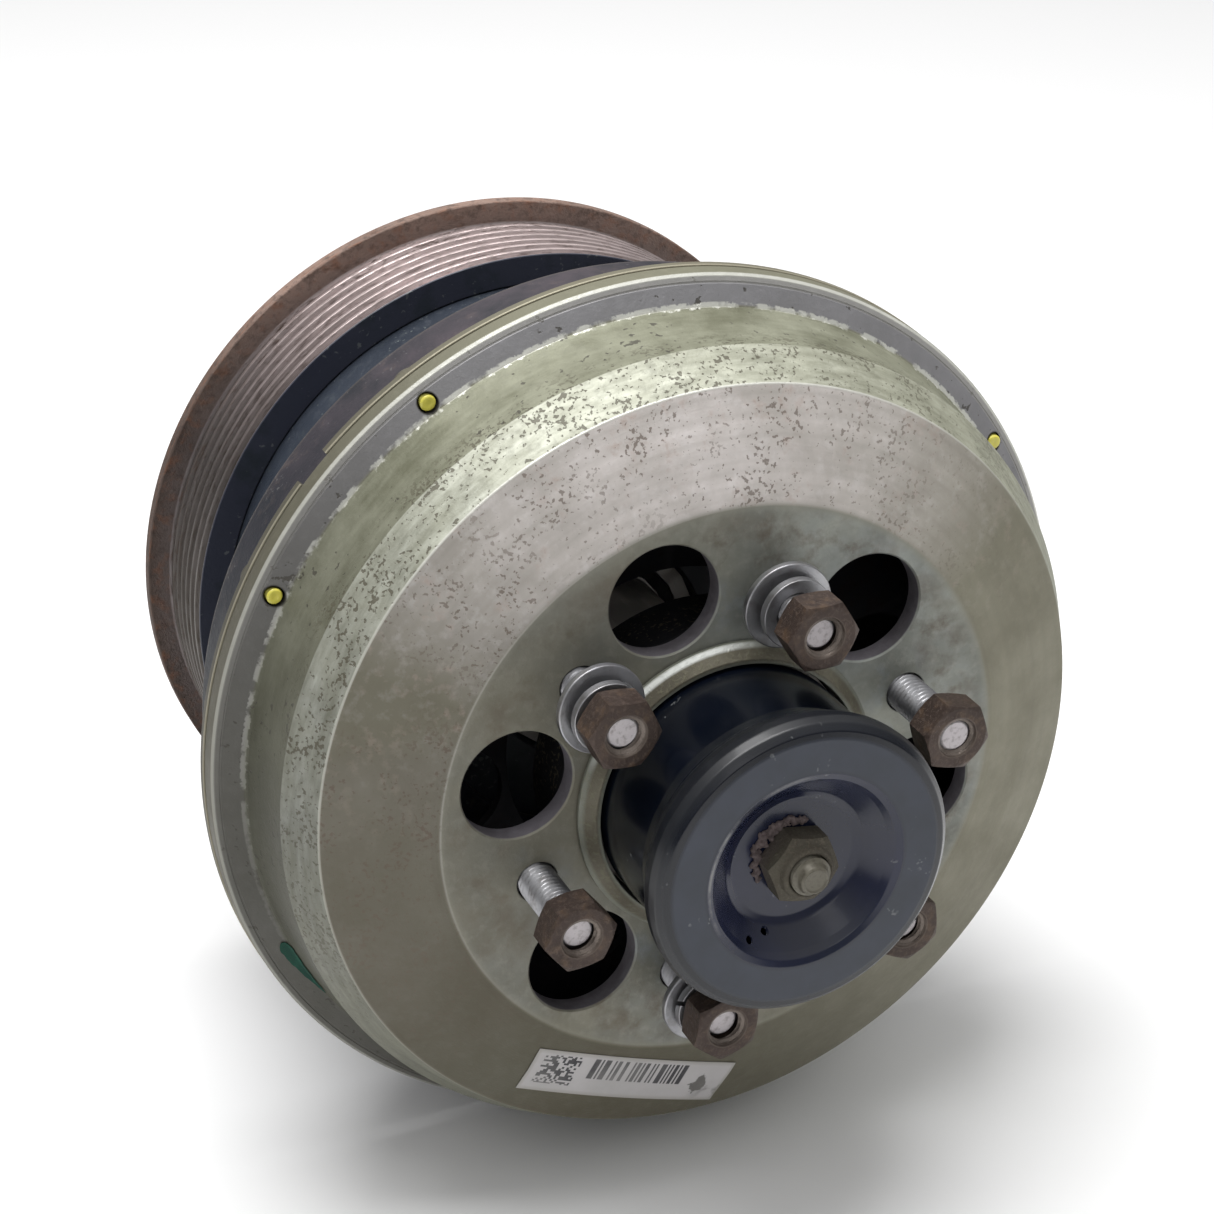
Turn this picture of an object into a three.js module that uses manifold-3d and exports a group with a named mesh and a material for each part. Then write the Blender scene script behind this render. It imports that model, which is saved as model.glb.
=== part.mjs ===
import * as THREE from 'three';
import { mergeVertices } from 'three/addons/utils/BufferGeometryUtils.js';
import Module from 'manifold-3d';

const wasm = await Module();
wasm.setup();

// All lengths in mm. The clutch axis is Y, the fan side faces -Y, and s is the
// distance forward from the rear mounting face (y = -s).
const fit = 0.3;
const big = 60;
const mid = 40;
const small = 24;

const flangeR = 48;
const flangeS = 8;
const mountBoltR = 36;
const mountHoleR = 4.2;
const coilScrewR = 43;
const grommetR = 53.2;
const spindleFootR = 20;
const shaftR = 15;
const stubR = 4;
const stubTipR = 2.4;
const stubEndS = 178.6;

const pulleyRearS = 6;
const pulleyFrontS = 33.9;
const pulleyFlangeR = 81.5;
const pulleyFlangeS = 9.6;
const ribR = 76.9;
const ribPitch = 3.53;
const ribDepth = 2.8;
const grooveCount = 7;
const lastGrooveS = 32.1;

const rotorR = 70;
const rotorFaceS = 75.2;
const airGap = 0.8;

const armatureR = 88.5;
const armatureS = rotorFaceS + airGap;

const drumR = 95;
const flangeFrontS = 105;
const stepS = 107.4;
const stepR = 89;
const shoulderS = 123.5;
const shoulderR = 86.7;
const faceOuterS = 132.2;
const faceOuterR = 81.9;
const faceS = 139.1;
const faceR = 59.8;
const ventR = 11.5;
const ventCircleR = 45.1;
const ventPhase = 47.3;

const studCircleR = 42;
const studPhase = 77.2;
const studR = 4;
const studEndS = 158.9;
const nutFlats = 13;
const nutHeight = 6.8;
const nutFrontS = [161.2, 159.9, 161, 161.6, 161.3, 160.6];
const washerS = { 1: [144.8, 148.3], 4: [149.6, 152.2], 6: [147.8, 151] };

const pinCircleR = 91;
const pinAngles = [122, 152, 242, 272, 2, 32];

const capR = 27.6;
const capRimR = 31.1;
const capFrontS = 174.8;
const capFloorS = 168.6;

const steel = { color: 0x8d8a86, roughness: 0.45, metalness: 0.9 };
const zinc = { color: 0xb4b8ba, roughness: 0.35, metalness: 0.9 };
const blackPaint = { color: 0x14161b, roughness: 0.4, metalness: 0.1 };
const rustySteel = { color: 0x574338, roughness: 0.6, metalness: 0.7 };
const castAluminium = { color: 0x84857a, roughness: 0.5, metalness: 0.8 };
const darkSteel = { color: 0x2b3238, roughness: 0.55, metalness: 0.5 };
const copper = { color: 0x7a3c1e, roughness: 0.5, metalness: 0.3 };
const rubber = { color: 0x1c1c1c, roughness: 0.8, metalness: 0 };
const lining = { color: 0x4a4037, roughness: 0.9, metalness: 0 };
const yellowPaint = { color: 0xb5a51e, roughness: 0.4, metalness: 0.1 };

const group = new THREE.Group();
group.name = 'electromagnetic_clutch';

function add(name, geometry, look) {
  const mesh = new THREE.Mesh(geometry, new THREE.MeshStandardMaterial(look));
  mesh.name = name;
  group.add(mesh);
}

// Closed solid from a three.js geometry, welded and facing outwards.
function solid(geometry) {
  const g = geometry.index ? geometry.toNonIndexed() : geometry.clone();
  g.deleteAttribute('normal');
  g.deleteAttribute('uv');
  const welded = mergeVertices(g, 1e-4);
  const p = welded.attributes.position.array;
  const tris = [];
  let volume = 0;
  const index = welded.index.array;
  for (let i = 0; i < index.length; i += 3) {
    const [a, b, c] = [index[i], index[i + 1], index[i + 2]];
    if (a === b || b === c || c === a) continue;
    tris.push(a, b, c);
    const u = new THREE.Vector3().fromArray(p, 3 * a);
    const v = new THREE.Vector3().fromArray(p, 3 * b);
    const w = new THREE.Vector3().fromArray(p, 3 * c);
    volume += u.dot(v.cross(w));
  }
  if (volume < 0) tris.reverse();
  return new wasm.Manifold(new wasm.Mesh({
    numProp: 3,
    vertProperties: new Float32Array(p),
    triVerts: new Uint32Array(tris),
  }));
}

function toGeometry(manifold) {
  const mesh = manifold.getMesh();
  const g = new THREE.BufferGeometry();
  g.setAttribute('position', new THREE.BufferAttribute(mesh.vertProperties, 3));
  g.setIndex(new THREE.BufferAttribute(mesh.triVerts, 1));
  g.computeVertexNormals();
  return g;
}

// Body of revolution about the clutch axis; the profile is a list of [r, s].
function turned(profile, segments = big) {
  const points = profile.map(([r, s]) => new THREE.Vector2(r, -s));
  return solid(new THREE.LatheGeometry(points, segments));
}

// Annular body: the profile closes on itself.
function ring(profile, segments = big) {
  return turned([...profile, profile[0]], segments);
}

function tube(r0, r1, s0, s1, segments = big) {
  return ring([[r0, s0], [r1, s0], [r1, s1], [r0, s1]], segments);
}

function polar(r, degrees, s) {
  const a = THREE.MathUtils.degToRad(degrees);
  return [r * Math.cos(a), -s, r * Math.sin(a)];
}

// Solid turned about its own axis, then moved out to a pitch circle.
function at(body, r, degrees) {
  return body.translate(polar(r, degrees, 0));
}

function drill(body, radius, circleR, angles, s0, s1, segments = 12) {
  const cut = turned([[0, s0], [radius, s0], [radius, s1], [0, s1]], segments);
  return angles.reduce((rest, a) => rest.subtract(at(cut, circleR, a)), body);
}

function everyAngle(count, phase, step = 360 / count) {
  return Array.from({ length: count }, (_, k) => phase + step * k);
}

function slab(sizeX, sizeY, sizeZ) {
  return solid(new THREE.BoxGeometry(sizeX, sizeY, sizeZ));
}

const studAngles = everyAngle(6, studPhase, -60);
const ventAngles = everyAngle(6, ventPhase, -60);

function spindle() {
  return turned([
    [0, 0], [spindleFootR, 0], [spindleFootR, 48], [shaftR, 48], [shaftR, 146], [8, 147],
    [8, capFloorS - 2.3], [stubR, capFloorS - 2.3], [stubR, stubEndS - 1.8],
    [stubTipR, stubEndS], [0, stubEndS],
  ], 32);
}

// Bolted to the engine; the coil housing is screwed to its front.
function mountingFlange() {
  const body = ring([
    [spindleFootR + fit, 0], [flangeR, 0], [flangeR, flangeS], [31.5, flangeS], [31.5, 13],
    [spindleFootR + fit, 13],
  ], 32);
  const bolted = drill(body, mountHoleR, mountBoltR, everyAngle(4, 0), -1, flangeS + 1);
  return drill(bolted, 2.9, coilScrewR, everyAngle(3, 45), 2.5, flangeS + 1, 10);
}

function coilHousing() {
  const shell = ring([
    [32, 8.3], [62.5, 8.3], [62.5, 67.2], [58.5, 67.2], [58.5, 13.5], [36.5, 13.5],
    [36.5, 67.2], [32, 67.2],
  ], mid);
  const screws = drill(shell, 2.9, coilScrewR, everyAngle(3, 45), 8, 14, 10);
  return drill(screws, 3.3, grommetR, [90], 8, 14, 10);
}

function coilScrew(angle) {
  const body = turned([[0, 3], [2.6, 3], [2.6, 13.8], [4.2, 13.8], [4.2, 17.5], [0, 17.5]], 10);
  return at(body, coilScrewR, angle);
}

function coilGrommet() {
  const body = ring([
    [1.6, 4.5], [4, 4.5], [4.6, 5.5], [4.6, 8], [3, 8], [3, 13.8], [4.4, 13.8], [4.4, 15.5],
    [1.6, 15.5],
  ], 10);
  return at(body, grommetR, 90);
}

function pulley() {
  const profile = [
    [rotorR + fit, pulleyRearS], [pulleyFlangeR - 0.8, pulleyRearS],
    [pulleyFlangeR, pulleyRearS + 0.8], [pulleyFlangeR, pulleyFlangeS],
  ];
  for (let k = grooveCount - 1; k >= 0; k -= 1) {
    const s = lastGrooveS - ribPitch * k;
    profile.push([ribR, s - 1.2], [ribR - ribDepth, s - 0.3]);
    profile.push([ribR - ribDepth, s + 0.3], [ribR, s + 1.2]);
  }
  profile.push([ribR - 0.4, pulleyFrontS], [rotorR + fit, pulleyFrontS]);
  return ring(profile, big);
}

function rotor() {
  const body = ring([
    [25.3, 46], [31, 46], [31, 68.2], [63.6, 68.2], [63.6, 14], [rotorR, 14],
    [rotorR, rotorFaceS - 0.6], [rotorR - 0.6, rotorFaceS], [25.3, rotorFaceS],
  ], 48);
  return fluxSlots(body);
}

// Six curved slots split the friction wall into an inner and an outer pole.
function fluxSlots(body) {
  const groove = tube(47, 50.5, 66, 77, mid);
  const bridge = slab(120, 30, 9).translate([0, -70, 0]);
  const bridges = everyAngle(3, 0).map((a) => bridge.rotate([0, a, 0]));
  return body.subtract(bridges.reduce((rest, b) => rest.subtract(b), groove));
}

function armature() {
  return ring([
    [40, armatureS], [59.7, armatureS], [59.7, armatureS + 2.3], [68.8, armatureS + 2.3],
    [68.8, armatureS], [armatureR - 0.8, armatureS], [armatureR, armatureS + 0.8],
    [armatureR, 94.8], [84.5, 94.8], [84.5, 81], [40, 81],
  ], 48);
}

// Stands on the armature and carries one end of a leaf spring.
function armaturePost(angle) {
  return at(turned([[0, 81 + fit], [5, 81 + fit], [5, 104.9], [0, 104.9]], 12), 60, angle);
}

function drumProfile() {
  return [
    [84, 100.7], [drumR, 100.7], [drumR, flangeFrontS - 0.3], [drumR - 0.4, flangeFrontS + 0.1],
    [stepR, stepS], [stepR - 0.5, stepS + 0.7], [stepR - 1.4, stepS + 4],
    [shoulderR + 0.2, stepS + 10], [shoulderR, shoulderS], [faceOuterR, faceOuterS],
    [71.5, 136.1], [faceR + 2, 138.8], [faceR, faceS], [28.5, faceS], [28.5, 120], [33.2, 120],
    [33.2, 134.7], [58, 134.7], [70, 131.8], [77.5, 129], [80, 122.5], [80, 112], [84, 112],
  ];
}

function drum() {
  let body = ring(drumProfile());
  body = drill(body, ventR, ventCircleR, ventAngles, 130, 142, small);
  body = drill(body, studR + fit, studCircleR, studAngles, 130, 142);
  return drill(body, 2.4, pinCircleR, pinAngles, 99, 110);
}

function rearRing() {
  let body = tube(84.8, drumR + 0.2, 98.3, 100.4);
  const lug = turned([[0, 95.9], [2.6, 95.9], [3.7, 97.1], [3.7, 99], [0, 99]], 12);
  body = pinAngles.reduce((whole, a) => whole.add(at(lug, 91.2, a)), body);
  const notch = slab(8, 6, 7.6);
  const cuts = everyAngle(3, 137).map((a) => notch.rotate([0, -a, 0]).translate(polar(96, a, 99)));
  body = cuts.reduce((rest, c) => rest.subtract(c), body);
  return drill(body, 2.4, pinCircleR, pinAngles, 97.6, 102);
}

function pin(angle) {
  const body = turned([
    [0, 98], [2.1, 98], [2.1, 105.2], [1.9, 105.5], [1.9, 106.6], [1.4, 107], [0, 107],
  ], 10);
  return at(body, pinCircleR, angle);
}

function carrierPlate() {
  const plate = tube(35.5, 83.6, 109.6, 111.7, mid);
  const vents = drill(plate, 10.5, 47.5, everyAngle(6, 187), 109, 112.5, 16);
  return drill(vents, 2.9, 60, everyAngle(3, 92), 109, 112.5);
}

// Flat strip from a rivet on the carrier plate to a post on the armature.
function leafSpring(angle) {
  const [x0, , z0] = polar(60, angle, 0);
  const [x1, , z1] = polar(60, angle + 60, 0);
  const length = Math.hypot(x1 - x0, z1 - z0) + 14;
  const turn = THREE.MathUtils.radToDeg(Math.atan2(z1 - z0, x1 - x0));
  const strip = slab(length, 0.8, 13).rotate([0, -turn, 0]);
  const body = strip.translate([(x0 + x1) / 2, -105.7, (z0 + z1) / 2]);
  return drill(body, 2.9, 60, [angle + 60], 104, 107);
}

function springRivet(angle) {
  const body = turned([
    [0, 103.7], [4.4, 103.7], [4.4, 105], [2.5, 105], [2.5, 106.4], [5, 106.4], [5, 109.3],
    [2.5, 109.3], [2.5, 112], [4.4, 112], [4.4, 113.2], [0, 113.2],
  ], 8);
  return at(body, 60, angle);
}

function bearingRetainer() {
  return ring([
    [capR + 0.7, faceS + fit], [32, faceS + fit], [32, 140.3], [31.3, 141], [29.2, 143],
    [capR + 0.7, 143],
  ], mid);
}

function stud(angle) {
  const body = turned([
    [0, 131.4], [6, 131.4], [6, 134.4], [studR, 134.4], [studR, studEndS - 0.8],
    [studR - 0.8, studEndS], [0, studEndS],
  ], 12);
  return at(body, studCircleR, angle);
}

function hexNut(flats, boreR, s0, s1, turn) {
  const corner = flats / Math.sqrt(3);
  const bevel = (corner - flats / 2) * 0.6;
  const prism = turned([[0, s0], [corner, s0], [corner, s1], [0, s1]], 6).rotate([0, turn, 0]);
  const envelope = turned([
    [0, s0], [flats / 2, s0], [corner, s0 + bevel], [corner, s1 - bevel], [flats / 2, s1], [0, s1],
  ], 18);
  const sides = boreR > 10 ? small : 12;
  return drill(prism.intersect(envelope), boreR, 0, [0], s0 - 1, s1 + 1, sides);
}

function fanNut(k) {
  const s1 = nutFrontS[k];
  return at(hexNut(nutFlats, studR + fit, s1 - nutHeight, s1, 13 * k), studCircleR, studAngles[k]);
}

function flatWasher(k) {
  const s0 = washerS[k][0];
  return at(tube(studR + fit, 9, s0, s0 + 1.6, 24), studCircleR, studAngles[k - 1]);
}

function springWasher(k) {
  const s0 = washerS[k][1];
  const whole = tube(studR + fit, 7.1, s0, s0 + 2, 24);
  const split = slab(4.5, 4, 0.9).translate([5.8, -s0 - 1, 0]).rotate([0, 50 * k, 0]);
  return at(whole.subtract(split), studCircleR, studAngles[k - 1]);
}

function dustCap() {
  return ring([
    [25.6, 140.4], [27, 140.4], [capR, 141], [capR, 161], [28.3, 164.4], [30, 166.8],
    [30.9, 169], [capRimR, 171.2], [30.6, 173.2], [29.3, 174.4], [27.6, capFrontS],
    [20.6, capFrontS], [19.3, 174.3], [18.2, 173], [14.4, 169.3], [12.8, capFloorS],
    [stubR + fit, capFloorS], [stubR + fit, 166.6], [12.6, 166.6], [16.6, 171], [18, 172.6],
    [27.6, 172.6], [28.9, 171.2], [28.6, 169], [26.4, 165.4], [25.6, 161],
  ], mid);
}

add('spindle', toGeometry(spindle()), steel);
add('mounting_flange', toGeometry(mountingFlange()), steel);
add('coil_housing', toGeometry(coilHousing()), steel);
add('coil_winding', toGeometry(tube(38, 57, 24, 61, small)), copper);
add('coil_grommet', toGeometry(coilGrommet()), rubber);
everyAngle(3, 45).forEach((a, k) => {
  add(`coil_screw_${k + 1}`, toGeometry(coilScrew(a)), zinc);
});
add('rear_bearing_inner', toGeometry(tube(shaftR + fit, 18.5, 48.3, 71.7, small)), steel);
add('bearing_spacer', toGeometry(tube(shaftR + fit, 18, 72, 120.2, small)), steel);
add('front_bearing_inner', toGeometry(tube(shaftR + fit, 19.5, 120.5, 136.2, small)), steel);
add('spindle_locknut', toGeometry(hexNut(36, shaftR + fit, 136.5, 144.5, 0)), steel);
add('dust_cap', toGeometry(dustCap()), blackPaint);
add('centre_nut', toGeometry(hexNut(14, stubR + fit, capFloorS + fit, 176, 10)), rustySteel);

add('pulley', toGeometry(pulley()), steel);
add('rotor', toGeometry(rotor()), blackPaint);
add('rear_bearing_outer', toGeometry(tube(21.5, 25, 48.3, 71.7, small)), steel);
add('rear_bearing_seal', toGeometry(tube(18.8, 21.2, 70.3, 71.3, small)), rubber);

add('armature', toGeometry(armature()), darkSteel);
everyAngle(3, 32).forEach((a, k) => {
  add(`armature_post_${k + 1}`, toGeometry(armaturePost(a)), darkSteel);
});
add('friction_ring', toGeometry(tube(60, 68.5, armatureS, armatureS + 2, mid)), lining);

add('drum', toGeometry(drum()), castAluminium);
add('rear_ring', toGeometry(rearRing()), castAluminium);
add('carrier_plate', toGeometry(carrierPlate()), darkSteel);
add('bearing_retainer', toGeometry(bearingRetainer()), castAluminium);
add('front_bearing_outer', toGeometry(tube(24, 28.2, 121, 136.2, small)), steel);
add('front_bearing_seal', toGeometry(tube(19.8, 23.7, 134.8, 135.8, small)), rubber);
everyAngle(3, 92).forEach((a, k) => {
  add(`leaf_spring_${k + 1}`, toGeometry(leafSpring(a - 60)), steel);
  add(`spring_rivet_${k + 1}`, toGeometry(springRivet(a)), zinc);
});
pinAngles.forEach((a, k) => add(`pin_${k + 1}`, toGeometry(pin(a)), yellowPaint));
studAngles.forEach((a, k) => {
  add(`stud_${k + 1}`, toGeometry(stud(a)), zinc);
  add(`nut_${k + 1}`, toGeometry(fanNut(k)), rustySteel);
});
[1, 4, 6].forEach((k) => {
  add(`washer_${k}`, toGeometry(flatWasher(k)), zinc);
  add(`spring_washer_${k}`, toGeometry(springWasher(k)), zinc);
});

export default group;
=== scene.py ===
import math
import random

import bpy
import bmesh
from mathutils import Matrix, Vector


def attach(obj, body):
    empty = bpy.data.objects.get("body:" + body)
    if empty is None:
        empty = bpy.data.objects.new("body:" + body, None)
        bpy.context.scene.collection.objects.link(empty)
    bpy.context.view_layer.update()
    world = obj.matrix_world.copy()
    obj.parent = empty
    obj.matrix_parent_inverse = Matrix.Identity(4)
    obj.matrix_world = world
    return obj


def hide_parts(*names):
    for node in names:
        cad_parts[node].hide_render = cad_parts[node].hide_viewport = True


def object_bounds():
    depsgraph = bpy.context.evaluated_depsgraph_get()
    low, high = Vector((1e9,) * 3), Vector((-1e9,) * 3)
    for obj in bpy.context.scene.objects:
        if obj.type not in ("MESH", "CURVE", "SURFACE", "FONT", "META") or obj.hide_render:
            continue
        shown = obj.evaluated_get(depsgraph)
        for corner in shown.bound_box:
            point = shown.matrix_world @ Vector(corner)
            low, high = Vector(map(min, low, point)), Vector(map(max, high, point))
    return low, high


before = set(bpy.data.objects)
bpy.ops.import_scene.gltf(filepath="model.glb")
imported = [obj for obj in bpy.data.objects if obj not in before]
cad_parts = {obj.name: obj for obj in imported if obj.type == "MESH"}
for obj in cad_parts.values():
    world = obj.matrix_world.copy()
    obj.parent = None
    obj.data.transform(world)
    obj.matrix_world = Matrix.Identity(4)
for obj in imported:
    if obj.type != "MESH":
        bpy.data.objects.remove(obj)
cadBox = [list(corner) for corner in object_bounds()]
print("frame loaded")

mm = 0.001


def polar(radius, degrees, s=0.0):
    a = math.radians(degrees)
    return Vector((radius * math.cos(a), -s, radius * math.sin(a))) * mm


def evenly(count, first=0.0, step=None):
    return [first + (360 / count if step is None else step) * k for k in range(count)]


def between(pairs, value):
    for (x0, y0), (x1, y1) in zip(pairs, pairs[1:]):
        if min(x0, x1) <= value <= max(x0, x1):
            return y0 + (y1 - y0) * (value - x0) / (x1 - x0)
    return pairs[0][1] if abs(value - pairs[0][0]) < abs(value - pairs[-1][0]) else pairs[-1][1]


def put(tree, kind, inputs=None, **settings):
    made = tree.nodes.new(kind)
    for name, value in settings.items():
        setattr(made, name, value)
    for key, value in (inputs or {}).items():
        if isinstance(value, bpy.types.NodeSocket):
            tree.links.new(value, made.inputs[key])
        else:
            made.inputs[key].default_value = value
    return made


def calc(tree, operation, a, b=0.0, clamp=False):
    made = put(tree, "ShaderNodeMath", {0: a, 1: b}, operation=operation, use_clamp=clamp)
    return made.outputs[0]


def newGroup(name, kind, inputs, outputs):
    tree = bpy.data.node_groups.new(name, kind)
    for direction, sockets in (("INPUT", inputs), ("OUTPUT", outputs)):
        for label, socketKind in sockets:
            tree.interface.new_socket(label, in_out=direction, socket_type="NodeSocket" + socketKind)
    return tree, put(tree, "NodeGroupInput").outputs


def endGeometry(tree, geometry, finish):
    whole = put(tree, "GeometryNodeRealizeInstances", {"Geometry": geometry}).outputs[0]
    done = put(tree, "GeometryNodeSetMaterial", {"Geometry": whole, "Material": finish}).outputs[0]
    put(tree, "NodeGroupOutput", {0: done})
    return tree


def makeTurnedTree():
    # a profile turned about the clutch axis, with a thread where its points ask for one
    tree, given = newGroup(
        "turnedBody", "GeometryNodeTree",
        [("Profile", "Geometry"), ("Segments", "Int"), ("Corner Steps", "Int"), ("Closed", "Int"),
         ("Thread Pitch", "Float"), ("Thread Depth", "Float"), ("Finish", "Material")],
        [("Body", "Geometry")])
    line = put(tree, "GeometryNodeMeshToCurve", {"Mesh": given["Profile"]}).outputs[0]
    rounding = put(tree, "GeometryNodeInputNamedAttribute", {"Name": "rounding"}, data_type="FLOAT")
    soft = put(tree, "GeometryNodeFilletCurve", {
        "Curve": line, "Count": given["Corner Steps"], "Radius": rounding.outputs["Attribute"],
        "Limit Radius": True}, mode="POLY").outputs[0]
    size = put(tree, "GeometryNodeAttributeDomainSize", {"Geometry": soft}, component="CURVE")
    count = size.outputs["Point Count"]
    rows = calc(tree, "ADD", count, given["Closed"])
    grid = put(tree, "GeometryNodeMeshGrid", {
        "Vertices X": calc(tree, "ADD", given["Segments"], 1.0), "Vertices Y": rows}).outputs[0]
    index = put(tree, "GeometryNodeInputIndex").outputs[0]
    column = calc(tree, "FLOOR", calc(tree, "DIVIDE", calc(tree, "ADD", index, 0.5), rows))
    row = calc(tree, "SUBTRACT", index, calc(tree, "MULTIPLY", column, rows))
    row = calc(tree, "FLOOR", calc(tree, "ADD", calc(tree, "MODULO", row, count), 0.25))
    column = calc(tree, "MODULO", column, given["Segments"])
    share = calc(tree, "DIVIDE", column, given["Segments"])
    angle = calc(tree, "MULTIPLY", share, math.tau)
    position = put(tree, "GeometryNodeInputPosition").outputs[0]
    point = put(tree, "GeometryNodeSampleIndex", {"Geometry": soft, "Value": position, "Index": row},
                data_type="FLOAT_VECTOR", domain="POINT")
    cut = put(tree, "GeometryNodeInputNamedAttribute", {"Name": "cut"}, data_type="FLOAT")
    depth = put(tree, "GeometryNodeSampleIndex", {
        "Geometry": soft, "Value": cut.outputs["Attribute"], "Index": row},
        data_type="FLOAT", domain="POINT").outputs[0]
    xyz = put(tree, "ShaderNodeSeparateXYZ", {0: point.outputs[0]}).outputs
    turns = calc(tree, "SUBTRACT", calc(tree, "DIVIDE", xyz["Z"], given["Thread Pitch"]), share)
    flank = calc(tree, "PINGPONG", calc(tree, "MULTIPLY", turns, 2.0), 1.0)
    flank = calc(tree, "MULTIPLY", calc(tree, "SUBTRACT", flank, 0.1), 1.3, clamp=True)
    depth = calc(tree, "MULTIPLY", calc(tree, "MULTIPLY", flank, given["Thread Depth"]), depth)
    radius = calc(tree, "SUBTRACT", xyz["X"], depth)
    place = put(tree, "ShaderNodeCombineXYZ", {
        "X": calc(tree, "MULTIPLY", radius, calc(tree, "COSINE", angle)),
        "Y": calc(tree, "MULTIPLY", xyz["Z"], -1.0),
        "Z": calc(tree, "MULTIPLY", radius, calc(tree, "SINE", angle))}).outputs[0]
    moved = put(tree, "GeometryNodeSetPosition", {"Geometry": grid, "Position": place}).outputs[0]
    welded = put(tree, "GeometryNodeMergeByDistance", {"Geometry": moved, "Distance": 2e-6})
    return endGeometry(tree, welded.outputs[0], given["Finish"])


def makePatternTree(operation):
    # one item repeated at marked spots, alone or cut from, joined to or met with a body
    tree, given = newGroup(
        "pattern" + operation.title(), "GeometryNodeTree",
        [("Body", "Geometry"), ("Item", "Object"), ("Spots", "Object"), ("Finish", "Material")],
        [("Result", "Geometry")])
    item = put(tree, "GeometryNodeObjectInfo", {"Object": given["Item"]}).outputs["Geometry"]
    spots = put(tree, "GeometryNodeObjectInfo", {"Object": given["Spots"]}).outputs["Geometry"]
    points = put(tree, "GeometryNodeMeshToPoints", {"Mesh": spots}).outputs[0]
    turn = put(tree, "GeometryNodeInputNamedAttribute", {"Name": "turn"}, data_type="FLOAT_VECTOR")
    rotation = put(tree, "FunctionNodeEulerToRotation", {0: turn.outputs["Attribute"]}).outputs[0]
    copies = put(tree, "GeometryNodeInstanceOnPoints", {
        "Points": points, "Instance": item, "Rotation": rotation}).outputs[0]
    copies = put(tree, "GeometryNodeRealizeInstances", {"Geometry": copies}).outputs[0]
    if operation == "PLACE":
        return endGeometry(tree, copies, given["Finish"])
    first, second = (0, 1) if operation == "DIFFERENCE" else (1, 1)
    blend = put(tree, "GeometryNodeMeshBoolean", operation=operation, solver="EXACT")
    tree.links.new(given["Body"], blend.inputs[first])
    tree.links.new(copies, blend.inputs[second])
    return endGeometry(tree, blend.outputs[0], given["Finish"])


turnedTree = makeTurnedTree()
patternTrees = {kind: makePatternTree(kind) for kind in ("PLACE", "DIFFERENCE", "UNION", "INTERSECT")}
print("geometry trees made:", 1 + len(patternTrees))


def linked(name, mesh):
    # a new object in the scene
    made = bpy.data.objects.new(name, mesh)
    bpy.context.scene.collection.objects.link(made)
    return made


def settled(obj, name):
    # the evaluated result as a plain mesh, in place of obj
    bpy.context.view_layer.update()
    graph = bpy.context.evaluated_depsgraph_get()
    mesh = bpy.data.meshes.new_from_object(
        obj.evaluated_get(graph), preserve_all_data_layers=True, depsgraph=graph)
    bpy.data.objects.remove(obj)
    mesh.name = name
    return linked(name, mesh)


def runTree(obj, tree, name, values):
    modifier = obj.modifiers.new("build", "NODES")
    modifier.node_group = tree
    for socket in tree.interface.items_tree:
        if socket.in_out == "INPUT" and socket.name in values:
            modifier[socket.identifier] = values[socket.name]
    return settled(obj, name)


def volumeOf(mesh):
    shape = bmesh.new()
    shape.from_mesh(mesh)
    volume = shape.calc_volume(signed=True)
    shape.free()
    return volume


def turned(name, profile, finish=None, closed=True, segments=192, steps=3, rounding=0.25,
           pitch=1.25, depth=0.0):
    # profile rows are (radius, s), then an own rounding and a share of the thread depth
    rows = [(tuple(row) + (rounding, 0.0)[len(row) - 2:]) for row in profile]
    area = sum(a[0] * b[1] - b[0] * a[1] for a, b in zip(rows, rows[1:] + rows[:1]))
    if area < 0:
        rows.reverse()
    mesh = bpy.data.meshes.new(name + "Profile")
    edges = [(k, k + 1) for k in range(len(rows) - 1)] + ([(len(rows) - 1, 0)] if closed else [])
    mesh.from_pydata([(r * mm, 0, s * mm) for r, s, *_ in rows], edges, [])
    for label, column, scale in (("rounding", 2, mm), ("cut", 3, 1.0)):
        layer = mesh.attributes.new(label, "FLOAT", "POINT")
        layer.data.foreach_set("value", [row[column] * scale for row in rows])
    made = runTree(linked(name + "Line", mesh), turnedTree, name, {
        "Segments": segments, "Corner Steps": steps, "Closed": int(closed),
        "Thread Pitch": pitch * mm, "Thread Depth": depth * mm, "Finish": finish})
    if volumeOf(made.data) < 0:
        made.data.flip_normals()
    return made


def spotsFor(name, spots):
    # spots are (radius, degrees, s) with an optional turn about each axis in degrees
    mesh = bpy.data.meshes.new(name)
    mesh.from_pydata([polar(*spot[:3]) for spot in spots], [], [])
    layer = mesh.attributes.new("turn", "FLOAT_VECTOR", "POINT")
    for k, spot in enumerate(spots):
        layer.data[k].vector = [math.radians(x) for x in (spot[3] if len(spot) > 3 else (0, 0, 0))]
    return linked(name, mesh)


def patterned(kind, body, item, spots, name, finish=None):
    marks = spotsFor(name + "Spots", spots)
    if body is None:
        body = linked(name + "Host", bpy.data.meshes.new(name + "Host"))
    finish = finish or next((m for m in body.data.materials if m), None)
    made = runTree(body, patternTrees[kind], name, {"Item": item, "Spots": marks, "Finish": finish})
    for used in (marks, item):
        bpy.data.objects.remove(used)
    return made


def drilled(body, radius, circle, angles, s0, s1, segments=48, chamfer=0.0, face=None):
    # round holes; the chamfer opens the hole at the face it is given
    rows = [(0, s0, 0), (radius, s0, 0), (radius, s1, 0), (0, s1, 0)]
    if chamfer:
        rows[2:3] = [(radius, face - chamfer, 0), (radius + chamfer * 2, face + chamfer, 0),
                     (radius + chamfer * 2, s1, 0)]
    cutter = turned("drill", rows, closed=False, segments=segments, rounding=0)
    return patterned("DIFFERENCE", body, cutter, [(circle, a, 0) for a in angles], body.name)


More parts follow.
